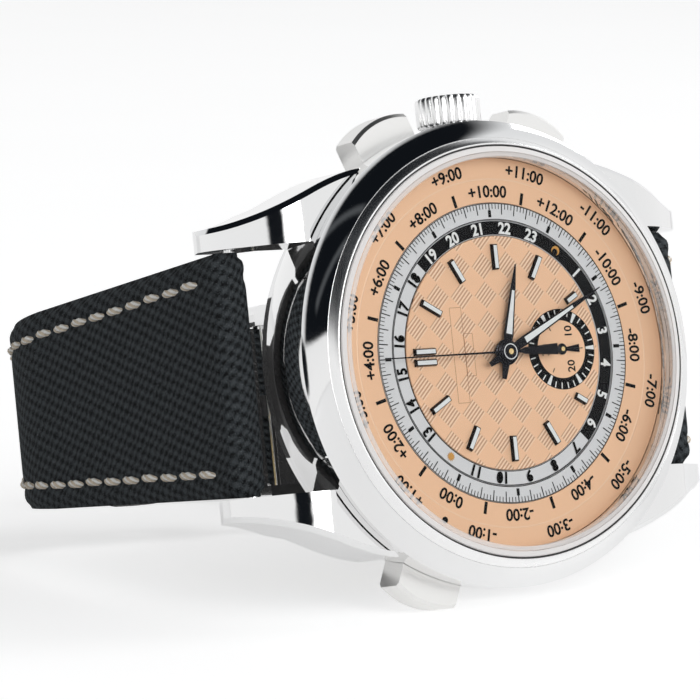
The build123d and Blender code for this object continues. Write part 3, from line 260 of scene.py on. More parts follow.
def mottled(name, scale, first, second, **sockets):
    """A finish whose colour wanders softly between two close tones."""
    made = Finish(name)
    blotches = made.noise(made.on_watch(), scale)
    made.surface(base_color=made.mix(blotches, first, second), **sockets)
    return made


# %% [markdown]
# ## Helpers that turn a bmesh into a piece
#
# Each piece starts as a bmesh in watch millimetres. `settle` has Blender point its faces outwards, which
# is a guess that can fail on a folded shell. It then lays the piece down with the watch, smooths what is
# round, keeps its corners sharp and hooks it to its body. A name in `stands_for` is a CAD piece that the
# new one takes the place of.


# %% From bmesh to piece
def settle(name, body, bm, finish, stands_for=(), edge=0.0, sharp=35):
    """Make the finished piece and let it ride on a body."""
    bmesh.ops.recalc_face_normals(bm, faces=bm.faces)
    bm.transform(WATCH)
    mesh = bpy.data.meshes.new(name)
    bm.to_mesh(mesh)
    bm.free()
    mesh.shade_smooth()
    mesh.set_sharp_from_angle(angle=math.radians(sharp))
    mesh.materials.append(finish.material)
    piece = bpy.data.objects.new(name, mesh)
    bpy.context.scene.collection.objects.link(piece)
    if edge:
        bevel = piece.modifiers.new("broken edges", "BEVEL")
        bevel.width = edge * MM
        bevel.segments = 2
        bevel.limit_method = "ANGLE"
        bevel.angle_limit = math.radians(sharp)
        bevel.harden_normals = True
    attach(piece, body)
    if stands_for:
        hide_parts(*stands_for)
    print(name, "has", len(mesh.polygons), "faces")
    return piece


def dress(finish, *nodes):
    """Give CAD nodes a finish."""
    for name in nodes:
        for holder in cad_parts[name].material_slots:
            holder.material = finish.material


# %% [markdown]
# ### Turned, cut and skinned shapes
#
# Most of a watch is turned on a lathe, so `spun` carries an outline of radius and height round the
# axis. `plate` cuts an outline from sheet. `skin` bridges a row of closed rings, which suits a shape
# whose section changes along the way, such as a fluted crown.

# %% Lathe, sheet and skin
DIAL_STEPS = 256


def spun(profile, steps=DIAL_STEPS, centre=(0, 0)):
    """Turn a closed outline of (radius, height) into a ring or a disc."""
    bm = bmesh.new()
    corners = [bm.verts.new((radius, 0, height)) for radius, height in profile]
    pairs = list(zip(corners, corners[1:]))
    if profile[0][0] > 0:
        pairs.append((corners[-1], corners[0]))
    rim = [bm.edges.new(pair) for pair in pairs]
    bmesh.ops.spin(
        bm, geom=corners + rim, cent=(0, 0, 0), axis=(0, 0, 1), angle=math.tau, steps=steps, use_merge=True
    )
    bmesh.ops.remove_doubles(bm, verts=bm.verts, dist=1e-5)
    bmesh.ops.translate(bm, verts=bm.verts, vec=(*centre, 0))
    return bm


def plate(bm, outline, bottom, top, place=None):
    """Draw an outline, fill it and pull it up to a plate."""
    corners = [bm.verts.new((x, y, bottom)) for x, y in outline]
    face = bm.faces.new(corners)
    pulled = bmesh.ops.extrude_face_region(bm, geom=[face])["geom"]
    raised = [part for part in pulled if isinstance(part, bmesh.types.BMVert)]
    bmesh.ops.translate(bm, verts=raised, vec=(0, 0, top - bottom))
    if place is not None:
        bmesh.ops.transform(bm, matrix=place, verts=corners + raised)
    return bm


def skin(rings, closed):
    """Bridge rings with the same number of points, and back to the first ring if closed."""
    bm = bmesh.new()
    loops = []
    for ring in rings:
        corners = [bm.verts.new(point) for point in ring]
        loops.append([bm.edges.new(pair) for pair in zip(corners, corners[1:] + corners[:1])])
    following = loops[1:] + loops[:1] if closed else loops[1:]
    for here, there in zip(loops, following):
        bmesh.ops.bridge_loops(bm, edges=here + there)
    return bm


# %% [markdown]
# ## Steel
#
# The case is one alloy in two finishes. Polished steel is a mirror: it needs almost no roughness, but a
# perfect mirror looks like a computer picture, so a fine noise varies it and a faint bump bends the
# reflections. The crown and the lip round the glass are brighter and a little softer. Satin steel has
# been drawn over an abrasive belt, which leaves long thin lines one way.

# %% Polished steel
polished = Finish("polished_steel")
skin_noise = polished.noise(polished.on_watch(), 1.7, 4.0)
wiped = polished.noise(polished.on_watch(), 0.35, 2.0)
polished.surface(
    base_color=(0.86, 0.86, 0.86),
    metallic=1.0,
    roughness=0.03 + wiped * 0.05,
    height=skin_noise,
    depth=0.0015,
)

bright_steel = Finish("bright_steel")
wiped = bright_steel.noise(bright_steel.on_watch(), 0.5, 3)
bright_steel.surface(
    base_color=(0.93, 0.93, 0.93),
    metallic=1.0,
    roughness=0.22 + wiped * 0.08,
    height=wiped,
    depth=0.001,
)

# %% Satin steel
satin = Finish("satin_steel")
satin_x, satin_y, satin_z = satin.parts(satin.on_watch())
grain = satin.noise(satin.join(satin_x * 0.6, satin_y * 0.6, satin_z * 14), 1.6, 5.0, 0.7)
satin.surface(
    base_color=(0.87, 0.865, 0.85),
    metallic=1.0,
    roughness=0.24 + grain * 0.14,
    height=grain,
    depth=0.004,
)

# %% [markdown]
# ## Dial colours
#
# The dial is galvanised in a warm salmon. Its centre is engine turned: squares set on their corners are
# alternately left plain and cut with fine parallel ribs. Cutting those ribs into the mesh would take
# hundreds of thousands of faces, so a bump follows the same drawing from the piece's own coordinates,
# and the colour of the ribbed squares is painted lighter on each ridge and darker in each furrow, as a
# painted highlight and painted shade.

# %% Engine-turned salmon centre
SALMON = paint(245, 198, 160)
# The two colours of the ribs: a painted highlight on the ridges and painted shade in the furrows.
RIDGE_HIGHLIGHT = paint(255, 222, 192)
FURROW_SHADE = paint(196, 146, 112)
SQUARE = 1.8
RIB = 0.3

turned_dial = Finish("engine_turned_salmon")
dial_x, dial_y = turned_dial.parts(turned_dial.on_watch())[:2]
along = (dial_x - dial_y) * math.sqrt(0.5)
across = (dial_x + dial_y) * math.sqrt(0.5)
checker = ((along / SQUARE).floor() + (across / SQUARE).floor()) % 2
rib = ((across * (math.tau / RIB)).sine() + 1) * 0.5
edge_along = abs((along / SQUARE) % 1 - 0.5).between(0.44, 0.5)
edge_across = abs((across / SQUARE) % 1 - 0.5).between(0.44, 0.5)
border = edge_along.larger(edge_across)
ribbed = checker * (1 - border)
grain = turned_dial.noise(turned_dial.on_watch(), 9, 3)
turned_dial.surface(
    # The ribbed squares take painted light: lighter salmon on each ridge, brown in each furrow.
    base_color=turned_dial.mix(ribbed, SALMON, turned_dial.mix(rib, FURROW_SHADE, RIDGE_HIGHLIGHT)),
    metallic=0.25,
    roughness=0.42 + grain * 0.08,
    height=rib * ribbed + border * 0.4,
    depth=0.012,
)

# %% [markdown]
# The rings round the centre are turned plain, and the tool leaves fine circles. A noise that reads only
# the distance from the axis draws them. The outer ring also has a fine step between its two rows of
# print: a bump, and a painted highlight that makes the line along it paler.

# %% Plain salmon and silver rings
STEP_RADIUS = 15.25

plain_salmon = Finish("salmon_ring")
reach = plain_salmon.from_axis()
rows = plain_salmon.noise(plain_salmon.join(reach * 9), 3.0, 4)
step_and_highlight = abs(reach - STEP_RADIUS).between(0.09, 0.02)
plain_salmon.surface(
    # The pale line along the step is a painted highlight; the step itself is the bump below.
    base_color=plain_salmon.mix(step_and_highlight * 0.35, SALMON, paint(250, 222, 196)),
    metallic=0.3,
    roughness=0.36 + rows * 0.1,
    height=rows + step_and_highlight * 3,
    depth=0.004,
)

silver = Finish("silver_ring")
rows = silver.noise(silver.join(silver.from_axis() * 12), 3.0, 4)
silver.surface(
    base_color=silver.mix(rows, paint(208, 208, 210), paint(226, 226, 227)),
    metallic=0.35,
    roughness=0.38 + rows * 0.1,
    height=rows,
    depth=0.004,
)

# %% [markdown]
# Ink is dull and nearly flat, so it gets almost no gloss: under a bright room even a little gloss turns
# black ink grey. The luminous paste is a chalky white, rougher than the inks.


# %% Inks, lacquer and luminous paste
def ink(name, colour, dullness=0.45, metal=0.0):
    """Printed ink with a faint grain."""
    made = Finish(name)
    grain = made.noise(made.on_watch(), 22, 3)
    darker = tuple(x * 0.86 for x in colour)
    made.surface(
        base_color=made.mix(grain, colour, darker),
        metallic=metal,
        specular_ior_level=0.06,
        roughness=dullness + grain * 0.1,
        height=grain,
        depth=0.002,
    )
    return made


black_ink = ink("black_ink", (0.006, 0.006, 0.0065))
white_ink = ink("white_ink", (0.94, 0.94, 0.93))
gold_ink = ink("gold_ink", paint(214, 160, 88), 0.35, 0.5)
fine_ink = ink("fine_line", paint(176, 128, 96))
night_lacquer = ink("night_lacquer", (0.004, 0.004, 0.005), 0.3)
glow_paste = ink("luminous_paste", (0.93, 0.95, 0.95), 0.55)

# %% [markdown]
# ## Dark hands and markers
#
# The hands and batons are blackened metal with polished flanks. They look black where they mirror the
# dark of the room and paler where they mirror a lamp, so they are a metal with a dark colour.

# %% Blackened metal
blackened = Finish("blackened_metal")
haze = blackened.noise(blackened.on_watch(), 6, 3)
blackened.surface(
    base_color=blackened.mix(haze, (0.012, 0.0125, 0.015), (0.022, 0.022, 0.026)),
    metallic=1.0,
    roughness=0.1 + haze * 0.08,
    height=haze,
    depth=0.0004,
)

# %% [markdown]
# ## Sapphire and rubber
#
# The front crystal is coated, so it hardly mirrors anything and the dial looks open to the air. Real
# refraction would also cost many samples. So the crystal lets light straight through, and a Fresnel
# factor adds a weak gloss at grazing angles.


# %% Clear crystal
def crystal(name, gloss, tint):
    """Clear sapphire that is see-through face on and glossy at a slant."""
    made = Finish(name)
    facing = made.node("Fresnel", None, {"IOR": 1.25})
    smear = made.noise(made.on_watch(), 0.5, 2)
    through = made.node("BsdfTransparent", None, {"Color": tint})
    shine = made.node("BsdfGlossy", None, {"Color": (1.0, 1.0, 1.0), "Roughness": 0.02})
    share = facing * gloss * (0.9 + smear * 0.2)
    made.show(made.node("MixShader", None, {0: share, 1: through, 2: shine}))
    return made


front_clear = crystal("front_crystal", 0.3, (0.985, 0.99, 0.99))
back_clear = crystal("back_crystal", 1.0, (0.97, 0.98, 0.98))

# %% [markdown]
# The rim of the crystal is ground, which makes it milky: it scatters light and half hides the print
# below. A matt white is laid over the clear glass by a mask that reads the distance from the axis. One
# thin clear line in it gives the dark circle where the ground flank begins. The gasket is dull rubber.

# %% Ground rim of the crystal, and rubber
CRYSTAL_EDGE = 17.0
FLANK_LINE = 17.42

edge_clear = Finish("crystal_edge")
reach = edge_clear.from_axis()
smear = edge_clear.noise(edge_clear.on_watch(), 0.4, 3)
ground = reach.between(17.44, 17.5)
line = abs(reach - FLANK_LINE).between(0.05, 0.02)
milky = reach.between(CRYSTAL_EDGE - 0.05, CRYSTAL_EDGE + 0.1)
cover = (ground * 0.32 + milky * 0.58 + smear * 0.1) * (1 - line * 0.7)
through = edge_clear.node("BsdfTransparent", None, {"Color": (0.95, 0.95, 0.96)})
bright = edge_clear.node("BsdfDiffuse", None, {"Color": (0.92, 0.90, 0.89)})
edge_clear.show(edge_clear.node("MixShader", None, {0: cover, 1: through, 2: bright}))

rubber = mottled("gasket", 5, (0.01, 0.01, 0.011), (0.025, 0.025, 0.026), roughness=0.5)

# %% [markdown]
# ## Bezel
#
# The bezel is a polished cone, slightly hollow, between a sharp foot and a thin inner lip. A mirror
# shows every facet of a coarse mesh, so the bezel is spun again here with many more steps than the CAD
# piece has. The lip is a ring of its own, because it has a softer shine.

# %% Bezel and its lip
BEZEL_STEPS = 320
FOOT_RADIUS, FOOT_HEIGHT = 20.5, -0.75
SLOPE_RUN, SLOPE_RISE = 1.65, 1.52
HOLLOW = 0.12

slope = []
for step in range(11):
    t = step / 10
    sag = HOLLOW * 4 * t * (1 - t)
    slope.append((FOOT_RADIUS - SLOPE_RUN * t - sag * 0.68, FOOT_HEIGHT + SLOPE_RISE * t - sag * 0.73))
bezel_foot = [(18.2, -1.5), (20.2, -1.5), (20.2, -1.3), (20.46, -1.3), (20.5, -1.26), (20.5, -0.79)]
bezel = spun(bezel_foot + slope + [(18.82, 0.74), (18.2, 0.74)], BEZEL_STEPS)
settle("bezel_ring", "case", bezel, polished, ["bezel"], sharp=22)

lip_outline = [
    (17.6, -1.5), (18.19, -1.5), (18.19, 0.745), (18.81, 0.745), (18.76, 0.84), (18.5, 1.26), (18.36, 1.44),
    (18.24, 1.53), (18.12, 1.55), (18.09, 1.5), (18.12, 1.4), (18.19, 1.36), (18.19, 0.7), (17.6, 0.7),
]
settle("bezel_lip", "case", spun(lip_outline, BEZEL_STEPS), bright_steel, sharp=22)

# %% [markdown]
# ## Glass, gasket and flange
#
# The glass is a low dome with the same curve above and below, held by a rubber gasket. Its clear disc
# and its ground rim are two pieces that meet at the same radius, one for each finish. The flange is the
# thin polished wall that closes the gap between the dial and the glass.

# %% Crystal, gasket and flange
DOME_RISE = 0.8
DOME_POINTS = 24


def dome(level):
    """The curve of the glass from its axis to its edge, its edge at a level."""
    shares = [point / DOME_POINTS for point in range(DOME_POINTS + 1)]
    return [(CRYSTAL_EDGE * share, level + DOME_RISE * (1 - share ** 2)) for share in shares]


gasket_outline = [(17.95, 0.7), (18.2, 0.7), (18.2, 1.36), (18.1, 1.4), (17.95, 1.4)]
settle("gasket_ring", "case", spun(gasket_outline), rubber, ["front_gasket"])
clear_disc = dome(1.75) + dome(0.8)[::-1]
settle("crystal_disc", "case", spun(clear_disc), front_clear, ["front_glass"])
ground_rim = [(17.0, 0.8), (17.94, 0.7), (17.94, 1.5), (17.88, 1.6), (17.5, 1.7), (17.0, 1.75)]
settle("crystal_rim", "case", spun(ground_rim), edge_clear, sharp=25)
flange_outline = [(17.16, -0.6), (17.55, -0.6), (17.55, 0.5), (17.4, 0.5), (17.16, 0)]
settle("flange_wall", "case", spun(flange_outline), polished, ["flange_ring"], sharp=20)

# %% [markdown]
# ## The dial's discs
#
# The dial is a stack of flat rings with hair-thin gaps between them. Two of them turn: the 24-hour ring
# and the outer zone ring. Each is a spun outline with its upper edges broken, so that the gaps catch a
# line of light.

# %% Dial centre and rings
centre_outline = [(0.9, -0.6), (10.2, -0.6), (10.25, -0.55), (10.25, -0.05), (10.2, 0), (0.9, 0)]
settle("centre_disc", "case", spun(centre_outline), turned_dial, ["dial_centre"])


def flat_ring(inner, outer, floor, top):
    """The outline of a dial ring with its two upper edges broken."""
    return [(inner, floor), (outer, floor), (outer, top - 0.02), (outer - 0.02, top), (inner + 0.02, top),
            (inner, top - 0.02)]


day_outline = flat_ring(10.3, 11.61, -0.55, -0.05)
settle("day_disc", "day_ring", spun(day_outline), silver, ["day_ring"])
minute_outline = flat_ring(11.66, 13.14, -0.6, 0)
settle("minute_disc", "case", spun(minute_outline), silver, ["minute_track"])
zone_outline = flat_ring(13.19, 17.12, -0.55, -0.05)
settle("zone_disc", "zone_ring", spun(zone_outline), plain_salmon, ["zone_ring"])

# %% [markdown]
# ## Printing
#
# Numerals are pad printed: ink about two hundredths of a millimetre thick. Each label is a text curve
# made into a mesh, then bent round its ring, so its letters stand square to the dial's edge. A capital
# is 0.72 of the size that a text curve is given. `bold` swells the strokes of the letters, and a
# `squeeze` below 1 narrows the label.

# %% Letters bent round a ring
INK = 0.012
CAPITAL = 0.72


def letters(bm, text, height, bold=0.0):
    """Add a line of letters, centred on x with its foot on y = 0, and give back its corners."""
    curve = bpy.data.curves.new("letters", "FONT")
    curve.body = text
    curve.size = height / CAPITAL
    curve.offset = bold
    curve.extrude = INK
    curve.resolution_u = 3
    curve.align_x = "CENTER"
    line = bpy.data.objects.new("letters", curve)
    mesh = bpy.data.meshes.new_from_object(line)
    count = len(bm.verts)
    bm.from_mesh(mesh)
    bm.verts.ensure_lookup_table()
    bpy.data.objects.remove(line)
    bpy.data.curves.remove(curve)
    bpy.data.meshes.remove(mesh)
    return bm.verts[count:]


def print_label(bm, text, radius, hour, height, level, bold=0.0, squeeze=1.0):
    """Add a label to a print, its middle at a radius and an hour, its tops outwards."""
    for corner in letters(bm, text, height, bold):
        angle = hour_angle(hour) - corner.co.x * squeeze / radius
        out = radius - height / 2 + corner.co.y
        corner.co = (out * math.cos(angle), out * math.sin(angle), level + corner.co.z)


# %% [markdown]
# Lines and bands are printed too. A `stroke` is a thin bar that points at the centre, and a `sector` is
# a small rectangle spun from one hour to another. The fill that closes its two ends also closes every
# other open edge in the same print, the eyes of its digits among them.


# %% Printed strokes and bands
def stroke(bm, hour, inner, outer, width, level, centre=(0, 0)):
    """A printed line that points at the centre."""
    bar = Matrix.Diagonal((outer - inner, width, INK * 2, 1))
    middle = Matrix.Translation(((inner + outer) / 2, 0, 0))
    place = Matrix.Translation((*centre, level)) @ toward(hour) @ middle
    bmesh.ops.create_cube(bm, size=1, matrix=place @ bar)


def sector(bm, inner, outer, start, end, level, steps=96):
    """A printed band from one hour to another."""
    first = around(1, start)
    floor = level - INK * 2
    section = ((inner, floor), (outer, floor), (outer, level), (inner, level))
    corners = [bm.verts.new((first.x * radius, first.y * radius, height)) for radius, height in section]
    rim = [bm.edges.new((corners[i], corners[(i + 1) % 4])) for i in range(4)]
    sweep = -(end - start) * math.pi / 6
    bmesh.ops.spin(bm, geom=corners + rim, cent=(0, 0, 0), axis=(0, 0, 1), angle=sweep, steps=steps)
    bmesh.ops.holes_fill(bm, edges=[e for e in bm.edges if e.is_boundary])


# %% [markdown]
# ### Zone labels
#
# The outer ring names 24 time zones by their offset from world time. They stand in two rows, because
# one row would be too tight: every second label moves out, and a bar under it marks its place. A dot
# stands beside one label.

# %% Zone labels
ZONES = ["+4", "+5", "+6", "+7", "+8", "+9", "+10", "+11", "+12", "-11", "-10", "-9",
         "-8", "-7", "-6", "-5", "-4", "-3", "-2", "-1", "0", "+1", "+2", "+3"]
INNER_ROW, OUTER_ROW = 14.2, 16.15

labels = bmesh.new()
for step, zone in enumerate(ZONES):
    outer = step % 2 == 1
    print_label(labels, zone + ":00", OUTER_ROW if outer else INNER_ROW, step / 2, 1.06, -0.03, 0.03)
    if outer:
        stroke(labels, step / 2, 13.28, 14.35, 0.3, -0.04)
dot = around(16.2, 9.98)
bmesh.ops.create_cone(
    labels, cap_ends=True, segments=24, radius1=0.3, radius2=0.3, depth=INK * 2,
    matrix=Matrix.Translation((dot.x, dot.y, -0.04)),
)
settle("zone_print", "zone_ring", labels, black_ink)

# %% [markdown]
# ### Minute track
#
# The track divides the dial into 240 parts, a quarter of a minute each. The line is longer at each
# minute, and each fifth minute gets a bold bar on its inner side. Two thin circles frame the track.

# %% Minute track
TRACK_END = 13.08

track = bmesh.new()
for quarter in range(240):
    hour = quarter / 20
    if quarter % 20 == 0:
        stroke(track, hour, 11.88, 12.5, 0.3, 0.01)
        stroke(track, hour, 12.5, TRACK_END, 0.09, 0.01)
    elif quarter % 4 == 0:
        stroke(track, hour, 12.15, TRACK_END, 0.085, 0.01)
    else:
        stroke(track, hour, 12.62, TRACK_END, 0.06, 0.01)
sector(track, 13.06, 13.12, 0, 12, 0.02, 240)
sector(track, 11.68, 11.74, 0, 12, 0.02, 240)
settle("minute_print", "case", track, black_ink)

# %% [markdown]
# ### Day and night ring
#
# The 24-hour ring is half silver for the day and half black for the night. Its numerals are black on
# the silver half and white on the black one, so they are printed as two pieces. A gilt sun and a gilt
# moon stand for noon and midnight.

# %% Day and night numerals
NIGHT_START, NIGHT_END = 1.5, 7.5
MIDNIGHT, NOON = 4.25, 10.25

night = bmesh.new()
sector(night, 10.36, 11.56, NIGHT_START, NIGHT_END, -0.03)
settle("night_band", "day_ring", night, night_lacquer)

day_print = bmesh.new()
night_print = bmesh.new()
for number in range(1, 24):
    if number == 12:
        continue
    hour = (MIDNIGHT + number * 0.5) % 12
    dark = NIGHT_START < hour < NIGHT_END
    print_label(night_print if dark else day_print, str(number), 10.98, hour, 1.0, -0.01, 0.045, 0.95)
sector(day_print, 10.33, 10.39, NIGHT_END, NIGHT_START + 12, -0.03)
sector(day_print, 11.53, 11.59, NIGHT_END, NIGHT_START + 12, -0.03)
settle("day_numerals", "day_ring", day_print, black_ink)
settle("night_numerals", "day_ring", night_print, white_ink)

# %% Sun and moon
SIGN_RADIUS = 10.95


def arc(radius, start, step, count, shift=0.0):
    """Points on a circle, from a start angle in degrees in equal steps, its centre moved along X."""
    angles = [math.radians(start + step * i) for i in range(count)]
    return [(shift + radius * math.cos(angle), radius * math.sin(angle)) for angle in angles]


signs = bmesh.new()
moon = Matrix.Translation(around(SIGN_RADIUS, MIDNIGHT)) @ toward(10.2)
plate(signs, arc(0.42, 40, 20, 15) + arc(0.31, 310, -22, 12, 0.14), -0.035, -0.01, moon)
rays = []
for step in range(24):
    length = 0.42 if step % 2 else 0.27
    rays.append((length * math.cos(step * math.pi / 12), length * math.sin(step * math.pi / 12)))
plate(signs, rays, -0.035, -0.01, Matrix.Translation(around(SIGN_RADIUS, NOON)))
settle("sun_and_moon", "day_ring", signs, gold_ink)

# %% [markdown]
# ## Applied batons
#
# Every hour but 6 has a raised baton, and 12 has two: a blackened block with sloping polished flanks and
# a strip of luminous paste along its top. A block is a cube whose upper face is narrowed, so its flanks
# catch the light.

# %% Hour batons
BATON_WIDTH, BATON_HEIGHT = 0.68, 0.34
BATON_END = 9.55
LONG, SHORT = 2.3, 1.3
BATONS = [(hour, LONG) for hour in (1, 2, 3, 4, 8, 9, 10, 11)] + [(5, SHORT), (7, SHORT)]
PAIR_OFFSET = 0.475


def baton(bm, paste, place, length):
    """One baton and its strip of paste, drawn along +X with its outer end at zero."""
    block = Matrix.Diagonal((length, BATON_WIDTH, BATON_HEIGHT, 1))
    middle = Matrix.Translation((-length / 2, 0, BATON_HEIGHT / 2))
    corners = bmesh.ops.create_cube(bm, size=1, matrix=middle @ block)["verts"]
    for corner in corners:
        if corner.co.z > BATON_HEIGHT / 2:
            corner.co.y *= 0.68
            corner.co.x = -length / 2 + (corner.co.x + length / 2) * 0.94
    bmesh.ops.transform(bm, matrix=place, verts=corners)
    strip = Matrix.Translation((-length / 2, 0, 0.33)) @ Matrix.Diagonal((length * 0.87, 0.36, 0.05, 1))
    bmesh.ops.create_cube(paste, size=1, matrix=place @ strip)


batons, pastes = bmesh.new(), bmesh.new()
for hour, length in BATONS:
    baton(batons, pastes, toward(hour) @ Matrix.Translation((BATON_END, 0, 0)), length)
for side in (-PAIR_OFFSET, PAIR_OFFSET):
    baton(batons, pastes, toward(0) @ Matrix.Translation((BATON_END, side, 0)), LONG)
settle("hour_batons", "case", batons, blackened, ["hour_markers"], edge=0.03)
settle("baton_paste", "case", pastes, glow_paste, edge=0.015)

# %% [markdown]
# ## The 30-minute counter
#
# The counter is a small dial at 6 o'clock: a black ring with white divisions round a salmon middle,
# with its own little hand. Its disc stands a hundredth of a millimetre proud of the dial's centre,
# because two faces at the same height would fight over which one shows.

# %% Counter dial
COUNTER = (0, -6.2)

disc_outline = [(0.25, -0.2), (3.66, -0.2), (3.66, 0.016), (3.6, 0.024), (3.55, 0.012), (0.25, 0.012)]
counter_disc = spun(disc_outline, 160, COUNTER)
settle("counter_disc", "case", counter_disc, plain_salmon, ["counter_dial"])
counter_black = spun([(2.55, 0.0), (3.56, 0.0), (3.56, 0.022), (2.55, 0.022)], 160, COUNTER)
settle("counter_band", "case", counter_black, night_lacquer)

counter_white = bmesh.new()
for minute in range(30):
    hour = minute / 2.5
    if minute % 5 == 0:
        wedge = [(2.62, -0.1), (3.5, -0.2), (3.5, 0.2), (2.62, 0.1)]
        plate(counter_white, wedge, 0.02, 0.04, Matrix.Translation((*COUNTER, 0)) @ toward(hour))
    else:
        stroke(counter_white, hour, 2.95, 3.48, 0.1, 0.03, COUNTER)
settle("counter_marks", "case", counter_white, white_ink)

# %% Counter numerals
NUMERAL = 0.78

counter_ink = bmesh.new()
for text, hour in (("10", 4), ("20", 8), ("30", 0)):
    corners = letters(counter_ink, text, NUMERAL, 0.02)
    middle = around(1.75, hour)
    lift = (middle.x, middle.y + COUNTER[1] - NUMERAL / 2, 0.012)
    bmesh.ops.translate(counter_ink, verts=corners, vec=lift)
for hour in (2, 6, 10):
    stroke(counter_ink, hour, 1.9, 2.3, 0.08, 0.012, COUNTER)
settle("counter_numerals", "case", counter_ink, black_ink)

# %% [markdown]
# ### Bare plates
#
# Two plain plates, a large and a small one, are marked by their outlines alone. Each outline is made of
# four thin bars, and the engine turning runs on inside it.

# %% Plate outlines
LINE = 0.04

plates = bmesh.new()
for width, height, middle in ((8.3, 1.2, 4.7), (3.7, 0.9, 3.6)):
    for sign in (-1, 1):
        level_bar = (width, LINE, 0, sign * height / 2)
        upright_bar = (LINE, height, sign * width / 2, 0)
        for length, thick, x, y in (level_bar, upright_bar):
            bar = Matrix.Diagonal((length, thick, 0.01, 1))
            bmesh.ops.create_cube(plates, size=1, matrix=Matrix.Translation((x, middle + y, 0.002)) @ bar)
settle("nameplate_lines", "case", plates, fine_ink)

# %% [markdown]
# ## Hands
#
# The hour and minute hands are narrow leaves with a slot of luminous paste; the chronograph hand is a
# long needle with a counterweight. Each is drawn as half an outline along +X, mirrored, pulled up to a
# plate, bevelled, and turned to its time. Its hub is spun: the hour and minute hubs are bored, because
# the pipes and arbors of the hands above pass through them.


# %% Making a hand
def mirrored(half):
    """An outline from its upper half, drawn from tip to tail."""
    return half + [(x, -y) for x, y in reversed(half) if y > 0]


def hand(name, body, half, hour, bottom, top, hub, stands_for, centre=(0, 0), bore=None):
    """A hand with its hub."""
    leaf = plate(bmesh.new(), mirrored(half), bottom, top, Matrix.Translation((*centre, 0)) @ toward(hour))
    settle(name, body, leaf, blackened, stands_for, edge=0.04)
    crown = top + 0.02
    profile = [(0, crown), (hub * 0.8, crown), (hub, top - 0.04), (hub, bottom), (0, bottom)]
    if bore:
        profile = [(bore, bottom), (bore, crown), (hub * 0.88, crown), (hub, top - 0.04), (hub, bottom)]
    settle(name + "_hub", body, spun(profile, 96, centre), blackened)


# %% Hour, minute, chronograph and counter hands
HOUR_TIME, MINUTE_TIME = 3.45, 5.12
BORE = 0.56

hour_half = [(7.85, 0.05), (5.7, 0.25), (1.6, 0.5), (0.9, 0.42), (0, 0.5), (-2.4, 0.21)]
hand("hour_leaf", "hour_hand", hour_half, HOUR_TIME, 0.42, 0.56, 1.15, ["hour_hand"], bore=BORE)
minute_half = [(11.75, 0.04), (8.4, 0.24), (2.0, 0.45), (0.9, 0.38), (0, 0.48), (-2.3, 0.21)]
hand("minute_leaf", "minute_work", minute_half, MINUTE_TIME, 0.66, 0.80, 1.05, ["minute_hand"], bore=BORE)
needle_half = [(13.0, 0.05), (0, 0.1), (-1.2, 0.16), (-1.6, 0.3), (-5.1, 0.5)]
hand("needle", "seconds_work", needle_half, 0, 0.9, 1.04, 0.9, ["seconds_hand"])
small_half = [(2.9, 0.06), (0, 0.16), (-0.6, 0.18), (-1.85, 0.36)]
hand("counter_pointer", "counter_work", small_half, 0, 0.12, 0.19, 0.5, ["counter_hand"], COUNTER)

# %% Paste, caps and the hour pipe
for name, body, half, hour, top in (
    ("hour_paste", "hour_hand", [(5.5, 0.13), (1.62, 0.31)], HOUR_TIME, 0.555),
    ("minute_paste", "minute_work", [(8.2, 0.12), (2.12, 0.28)], MINUTE_TIME, 0.795),
):
    strip = plate(bmesh.new(), mirrored(half), top - 0.05, top + 0.025, toward(hour))
    settle(name, body, strip, glow_paste)

cap = spun([(0, 1.06), (0.17, 1.06), (0.19, 1.1), (0.12, 1.14), (0, 1.15)], 48)
settle("needle_cap", "seconds_work", cap, polished)
collar = spun([(0.62, 1.05), (0.7, 1.05), (0.7, 1.075), (0.62, 1.075)], 64)
settle("needle_collar", "seconds_work", collar, polished)
pipe = spun([(0.61, -0.95), (0.84, -0.95), (0.84, 0.43), (0.61, 0.43)], 64)
settle("hour_pipe", "hour_hand", pipe, blackened)

# %% [markdown]
# ## Woven strap
#
# The strap is padded cloth: a woven face over a soft filling, turned in at its sides and stitched to a
# thin lining. It is easiest to model flat, as a grid with its distance along the strap as one axis, and
# then to bend it along the curve that the strap follows. Cloth simulation wouldn't help here: the
# padding is stiff and thin, and it has to end exactly where the spring bar and the buckle are.


